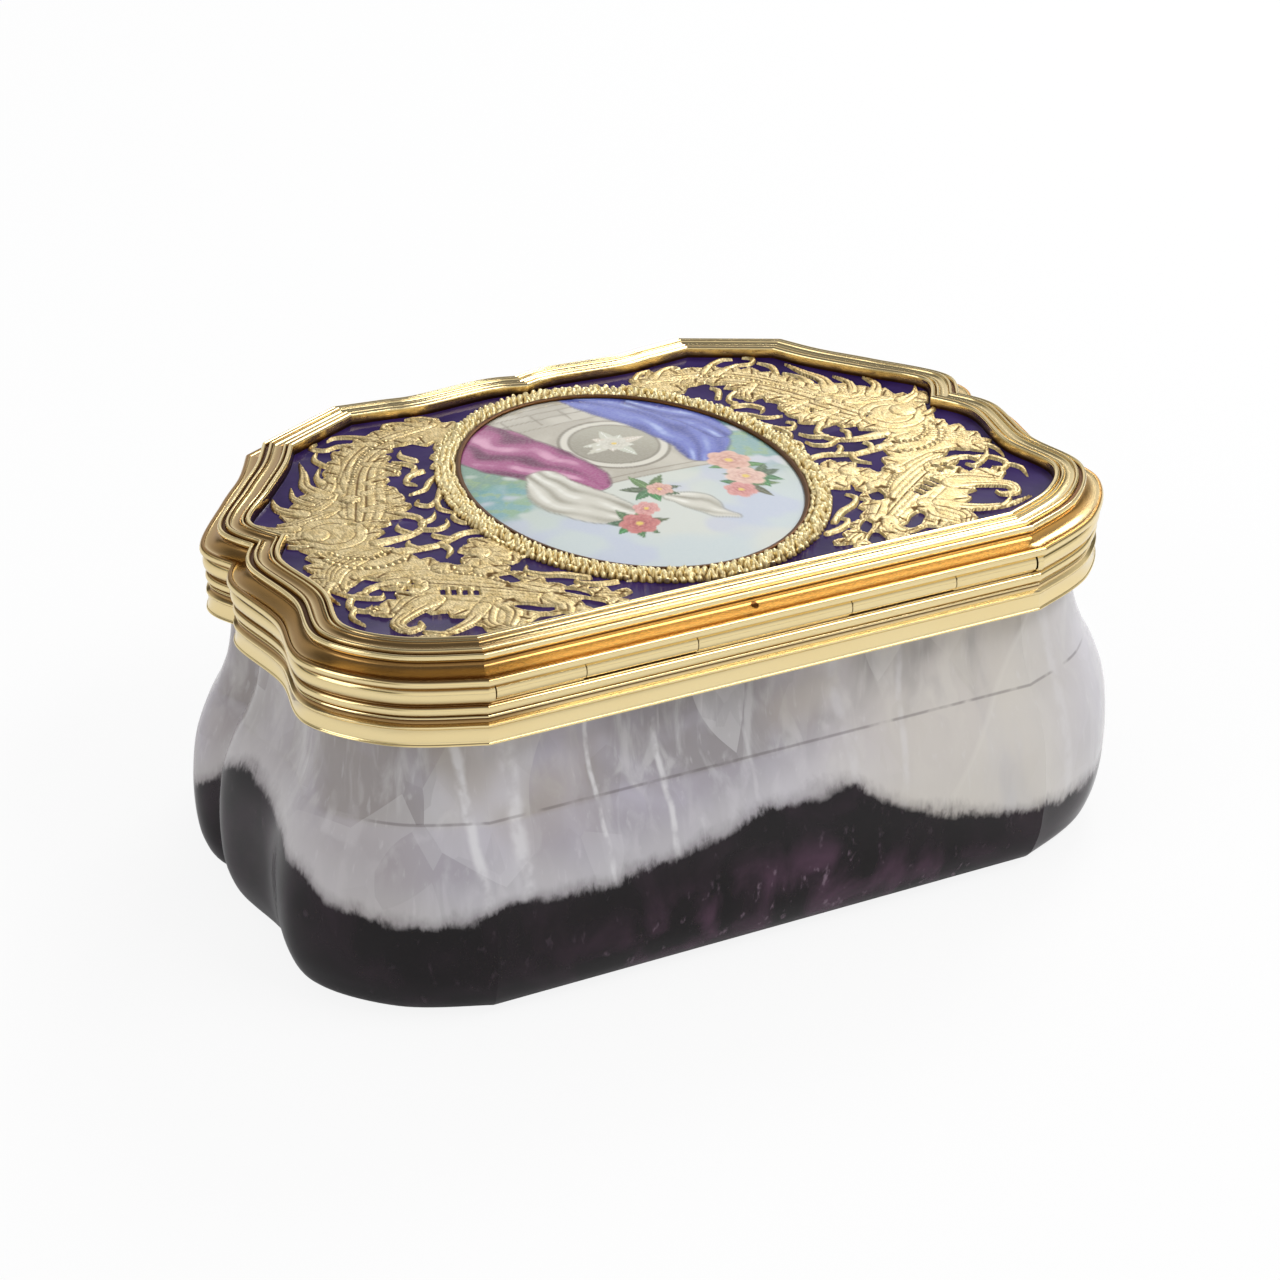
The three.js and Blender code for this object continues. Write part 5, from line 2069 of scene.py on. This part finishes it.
@dataclass(frozen=True)
class Plaque:
    """The domed enamel plaque with its painting, its thin collet and its backing plate."""

    levels: Levels
    oval: Oval
    edge: float = 0.25
    dome: float = 0.85
    backing: float = 0.25
    collet_gap: float = 0.1
    collet_wall: float = 0.25
    collet_lip: float = 0.15
    collet_height: float = 0.8
    collet_steps: int = 240
    stations: int = 560
    rings: int = 84

    def paint(self, x: Array, y: Array) -> Array:
        """The painting: a stone medallion among draped cloths and roses, under a pale sky.

        Args:
            x: the places to be painted, in the frame's axes.
            y: the same places along Y.

        Returns:
            The colour of each place.
        """
        art = Scene2D(-x, -y)
        art.wash(np.ones(len(x)), (0.5, 0.56, 0.5))
        art.wash(ease(art.y + 6 * art.cloud(0.2, 1.5), 2.0, 15.0), (0.54, 0.6, 0.6))
        art.wash(ease(art.cloud(0.24, 1.0), 0.48, 0.75) * 0.75, (0.62, 0.63, 0.56))
        art.wash(ease(art.cloud(0.34, 4.0), 0.58, 0.8) * 0.45, (0.46, 0.48, 0.66))
        for x0, y0, wide, tall, cool in ((12.6, -6.4, 6.6, 5.2, 0.2), (-13.6, -3.0, 5.2, 6.4, 0.7),
                                         (13.0, -0.6, 4.4, 3.4, 0.9)):
            bush = art.disc(x0, y0, wide, tall, 0.35) * ease(art.cloud(0.8, x0), 0.25, 0.55)
            tone = np.array((0.1, 0.22, 0.12)) * (1 - cool) + np.array((0.12, 0.33, 0.36)) * cool
            art.wash(bush * 0.75, tone)
            art.wash(bush * ease(art.cloud(2.2, x0 + 1), 0.5, 0.72) * 0.6, (0.3, 0.42, 0.2))
        self.masonry(art)
        self.drapery(art)
        self.roses(art)
        return art.colour

    def masonry(self, art: Scene2D) -> None:
        """Paints the stonework and its medallion, with a spray of leaves carved in it."""
        stone, shade, pale = (0.44, 0.405, 0.33), (0.22, 0.195, 0.145), (0.64, 0.61, 0.52)
        for low, high in (((-9.4, -19.5), (7.8, -12.6)), ((-7.6, -13.0), (6.8, 0.6)),
                          ((-8.2, 0.4), (5.4, 1.5))):
            share = art.block(low, high, 0.15)
            art.wash(share, stone)
            art.wash(share * ease(art.cloud(0.7, low[0]), 0.45, 0.8) * 0.45, pale)
            for edge in (low[1], high[1]):
                art.wash(share * line_share(art.y - edge, 0.05, 0.28) * 0.7, shade)
        for level in (-17.6, -16.4, -14.9):
            line = art.block((-9.0, level - 0.5), (7.4, level + 0.5))
            art.wash(line * line_share(art.y - level, 0.05, 0.2) * 0.65, shade)
        for place in (-6.6, -3.6, -0.6, 2.4, 5.4):
            line = art.block((place - 0.5, -16.2), (place + 0.5, -13.4))
            art.wash(line * line_share(art.x - place, 0.05, 0.18) * 0.6, shade)
        away = np.hypot((art.x + 1.4) / 5.0, (art.y + 6.2) / 5.6)
        inner = line_share(away, 0.8, 0.84)
        art.wash(line_share(away, 0.98, 1.03), pale)
        art.wash(line_share(away - 1.0, 0.015, 0.05) * 0.9, shade)
        art.wash(inner, (0.4, 0.38, 0.3))
        art.wash(inner * ease(art.x + art.y, -12.0, -4.0) * 0.5, shade)
        art.wash(line_share(away - 0.82, 0.01, 0.04) * 0.8, shade)
        for k in range(9):
            turn = 0.35 + k * 0.72
            light = (0.58 + 0.04 * math.sin(2.0 * k), 0.56, 0.46)
            art.leaf(-1.4, -6.3, turn, 2.7 + 0.8 * math.cos(3.0 * k), 0.62, light)
        art.flower(-1.4, -6.2, 1.5, (0.36, 0.33, 0.25), (0.66, 0.64, 0.55))

    def drapery(self, art: Scene2D) -> None:
        """Paints the blue, magenta and cream cloths and a fallen scarf."""
        blue = ((0.034, 0.044, 0.24), (0.13, 0.16, 0.49), (0.36, 0.44, 0.73))
        rose = ((0.13, 0.02, 0.072), (0.35, 0.082, 0.21), (0.64, 0.32, 0.46))
        cream = ((0.33, 0.31, 0.245), (0.6, 0.58, 0.5), (0.78, 0.77, 0.7))
        for tones, folds, sway, run in (
            (blue, 2.6, 1.6, ((-3.4, -19.0, 3.4), (-6.2, -14.6, 6.6), (-8.6, -9.0, 7.2),
                              (-9.0, -4.4, 6.0), (-7.6, -0.8, 3.0))),
            (blue, 1.6, 1.1, ((-8.0, -15.0, 1.8), (-11.0, -10.0, 3.4), (-11.6, -5.0, 2.4))),
            (rose, 2.3, 1.6, ((9.0, -17.0, 4.0), (8.8, -11.6, 7.6), (6.8, -6.0, 7.0),
                              (4.6, -1.6, 4.6), (4.0, 1.0, 2.4))),
            (cream, 2.4, 1.6, ((7.6, -2.4, 3.2), (7.6, 1.6, 5.4), (5.8, 5.4, 5.0),
                               (3.8, 8.0, 2.6))),
            (cream, 1.3, 1.5, ((-1.0, 6.2, 1.6), (-2.6, 8.0, 3.0), (-3.2, 10.2, 1.8),
                               (-4.6, 11.6, 0.8))),
        ):
            art.cloth(run, folds, tones, sway)

    def roses(self, art: Scene2D) -> None:
        """Paints the sprays of roses and leaves that the cloths are caught up with."""
        sprays = ((-9.6, 2.2), (-8.4, 6.2), (4.4, 9.2), (0.2, 4.2), (-10.4, 5.0))
        for k, (x0, y0) in enumerate(sprays):
            for leaf in range(7):
                turn = k + leaf * 0.95
                green = (0.09 + 0.03 * math.sin(leaf), 0.17 + 0.05 * math.cos(2.0 * leaf + k), 0.07)
                art.leaf(x0, y0, turn, 2.9 + 0.5 * math.sin(leaf), 0.55, green)
        for x0, y0, size, dark, light in (
            (-9.4, 1.2, 2.2, (0.36, 0.1, 0.08), (0.72, 0.46, 0.36)),
            (-9.2, 4.8, 2.0, (0.4, 0.14, 0.12), (0.76, 0.54, 0.44)),
            (-7.4, 7.2, 1.6, (0.34, 0.06, 0.08), (0.68, 0.34, 0.3)),
            (4.0, 9.4, 1.9, (0.22, 0.02, 0.03), (0.58, 0.22, 0.2)),
            (2.2, 7.2, 1.3, (0.34, 0.06, 0.08), (0.7, 0.38, 0.34)),
            (-0.6, 4.4, 1.3, (0.34, 0.1, 0.08), (0.7, 0.44, 0.36)),
        ):
            art.flower(x0, y0, size, dark, light)

    def build(self) -> None:
        """Makes the plaque and its collet and dresses them and the backing."""
        plate = self.levels.plate
        bottom, shoulder = plate + self.backing, plate + self.backing + self.edge
        rim = self.oval.loop(0.0, self.stations)
        loops = [at_height(rim * 0.999, bottom), at_height(rim, bottom + 0.03),
                 at_height(rim, shoulder)]
        for k in range(self.rings - 1, -1, -1):
            share = (k + 0.35) / (self.rings + 0.35)
            loops.append(at_height(rim * share, shoulder + self.dome * (1 - share * share)))
        plaque = sweep("painted_plaque", loops, ring=False)
        smooth(plaque, 50.0)
        places = get_places(plaque)
        colour = np.column_stack([self.paint(places[:, 0], places[:, 1]), np.ones(len(places))])
        layer = plaque.data.color_attributes.new("picture", "FLOAT_COLOR", "POINT")
        layer.data.foreach_set("color", colour.astype(np.float32).ravel())
        finish(plaque, Body.LID, Slot.PICTURE, "plaque")
        gap, wall, lip = self.collet_gap, self.collet_wall, self.collet_lip
        out, top, under = gap + wall, plate + self.collet_height, shoulder + gap
        # The collet is darkened nearly all over as painted shade in the gap round the plaque.
        rows = ((gap, plate, 1.0), (out, plate, 1.0), (out, top - 0.1, 1.0),
                (out - 0.04, top - 0.03, 1.0), (out - 0.1, top, 0.9), (gap, top - 0.01, 0.9),
                (-lip + 0.04, top - 0.06, 1.0), (-lip, top - 0.12, 1.0), (-lip, under, 1.0),
                (gap, under, 1.0))
        rings = [at_height(self.oval.loop(grow, self.collet_steps), z) for grow, z, _ in rows]
        collet = sweep("plaque_collet", rings, ring=True)
        mark(collet, "recess", np.array([grime_and_shade for _, _, grime_and_shade in rows]))
        smooth(collet, 40.0)
        finish(collet, Body.LID, Slot.GOLD, "collet")
        Slot.COPPER.dress(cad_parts["plaque_backing"])


# Camera, floor and light


@dataclass(frozen=True)
class Studio:
    """A pale table under soft light, seen as in the photograph.

    The camera's own lengths are in millimetres, and the floor's and the lamps' in metres.
    """

    azimuth: float = -27.614
    elevation: float = 27.982
    roll: float = 0.457
    lens: float = 98.4375
    aim: Colour = (-0.3, 1.85, 34.1)
    distance: float = 318.319
    shift_right: float = 1.909
    shift_up: float = -15.883
    sensor: float = 36.0
    clip: tuple[float, float] = (0.01, 20.0)
    lamp_aim: Colour = (0.0, 0.0, 0.02)
    lamps: tuple = (
        ("key_from_behind", (0.6, 0.5, 0.75), 0.6, (0.2, 0.2), 1.25),
        ("over_the_lens", (0.41, -0.47, 0.78), 0.62, (0.42, 0.16), 1.4),
        ("left_fill", (-0.95, -0.1, 0.45), 0.7, (0.3, 0.4), 0.8),
    )
    floor_size: float = 8.0
    floor_grey: Colour = (0.8, 0.8, 0.8)
    floor_white: float = 0.88
    walls: Colour = (0.6, 0.6, 0.61)
    sides: tuple = (
        (0.0, (0.95, 0.95, 0.95)), (0.3, (0.9, 0.9, 0.91)), (0.5, (0.72, 0.72, 0.74)),
        (0.72, (0.24, 0.24, 0.26)), (1.0, (0.2, 0.2, 0.22)),
    )
    cards: tuple = (
        (0.0, (0.8, 0.78, 0.74)), (0.1, (0.75, 0.73, 0.68)), (0.2, (0.11, 0.105, 0.075)),
        (0.34, (0.09, 0.09, 0.065)), (0.44, (0.8, 0.78, 0.74)), (0.6, (0.6, 0.6, 0.6)),
        (0.76, (0.15, 0.15, 0.14)), (1.0, (0.2, 0.2, 0.22)),
    )

    def axes(self) -> tuple[Vector, Vector, Vector]:
        """The camera's right, up and backward directions."""
        turn, tilt, roll = (math.radians(a) for a in (self.azimuth, self.elevation, self.roll))
        back = Vector((math.sin(turn) * math.cos(tilt), -math.cos(turn) * math.cos(tilt),
                       math.sin(tilt)))
        right = Vector((math.cos(turn), math.sin(turn), 0.0))
        up = back.cross(right)
        return (right * math.cos(roll) + up * math.sin(roll),
                up * math.cos(roll) - right * math.sin(roll), back)

    def camera(self) -> None:
        """Adds the camera at the photograph's place."""
        right, up, back = self.axes()
        place = Vector(self.aim) + back * self.distance
        place += right * self.shift_right + up * self.shift_up
        data = bpy.data.cameras.new("camera")
        data.lens = self.lens
        data.sensor_width = self.sensor
        data.clip_start, data.clip_end = self.clip
        camera = bpy.data.objects.new("camera", data)
        facing = Matrix((right, up, back)).transposed().to_4x4()
        camera.matrix_world = Matrix.Translation(place * MM) @ facing
        bpy.context.scene.collection.objects.link(camera)
        bpy.context.scene.camera = camera

    def lamp(self, name: str, toward: Colour, distance: float, size: tuple[float, float],
             power: float) -> None:
        """Adds a soft rectangular lamp.

        Args:
            name: its name.
            toward: the direction from the box to the lamp.
            distance: how far away it is, in metres.
            size: its width and height in metres.
            power: its power in watts.
        """
        data = bpy.data.lights.new(name, "AREA")
        data.shape = "RECTANGLE"
        data.size, data.size_y = size
        data.energy = power
        lamp = bpy.data.objects.new(name, data)
        direction = Vector(toward).normalized()
        lamp.location = Vector(self.lamp_aim) + direction * distance
        lamp.rotation_euler = direction.to_track_quat("Z", "Y").to_euler()
        bpy.context.scene.collection.objects.link(lamp)

    def floor(self) -> None:
        """Adds the table top, which shows almost white and keeps the shadow."""
        deselect()
        bpy.ops.mesh.primitive_plane_add(size=self.floor_size, location=(0.0, 0.0, 0.0))
        table = bpy.context.object
        table.name = table.data.name = "table_top"
        paint = Paint(bpy.data.materials.new("table_white"))
        seen = paint.node("ShaderNodeLightPath", {}, {}, "Is Camera Ray")
        matt = paint.node("ShaderNodeBsdfDiffuse", {}, {"Color": self.floor_grey})
        white = paint.node("ShaderNodeEmission", {}, {"Color": WHITE, "Strength": 1.0})
        values = {0: seen * self.floor_white, 1: matt, 2: white}
        paint.end(paint.node("ShaderNodeMixShader", {}, values))
        table.data.materials.append(paint.home)

    def world(self) -> None:
        """Lights the box all round.

        The camera sees white. Other light is an even grey, and reflections show the pale sides
        or, in some directions, the cards, each a ramp of colours over the height.
        """
        world = bpy.data.worlds.new("studio")
        bpy.context.scene.world = world
        paint = Paint(world)
        direction = paint.node("ShaderNodeTexCoord", {}, {}, "Generated")
        across, away, height = paint.axes(direction)
        sides, cards = (paint.node("ShaderNodeValToRGB", {"stops": stops}, {0: height})
                        for stops in (self.sides, self.cards))
        front = away.rise(0.35, 0.6) * across.rise(0.16, -0.1)
        mirrored = paint.mix(abs(across).rise(0.5, 0.8).greater(front), sides, cards)
        seen = paint.node("ShaderNodeLightPath", {}, {}, "Is Camera Ray")
        glossy, through = (Signal(paint, seen.socket.node.outputs[name])
                           for name in ("Is Glossy Ray", "Is Transmission Ray"))
        colour = paint.mix(glossy, self.walls, mirrored)
        colour = paint.mix(seen.greater(through), colour, WHITE)
        shader = paint.node("ShaderNodeBackground", {}, {"Color": colour, "Strength": 1.0})
        paint.end(shader, "ShaderNodeOutputWorld")

    def build(self) -> None:
        """Sets the stage."""
        self.camera()
        self.floor()
        self.world()
        for row in self.lamps:
            self.lamp(*row)
        bpy.context.scene.view_settings.view_transform = "Standard"


def main() -> None:
    """Builds the box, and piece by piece.
    """
    logging.basicConfig(level=logging.INFO, format="%(name)s: %(message)s")
    levels, outline, oval = Levels.of_frame(), Cartouche(), Oval()
    Studio().build()
    StoneBowl(levels, outline).build()
    NeckMount(levels, outline).build()
    Hinge(levels).build()
    LidShell(levels, outline).build()
    EnamelField(levels, outline, oval).build()
    Scrollwork(levels, outline, oval).build()
    Wreath(levels, oval).build()
    Plaque(levels, oval).build()


if __name__ == "__main__":
    main()
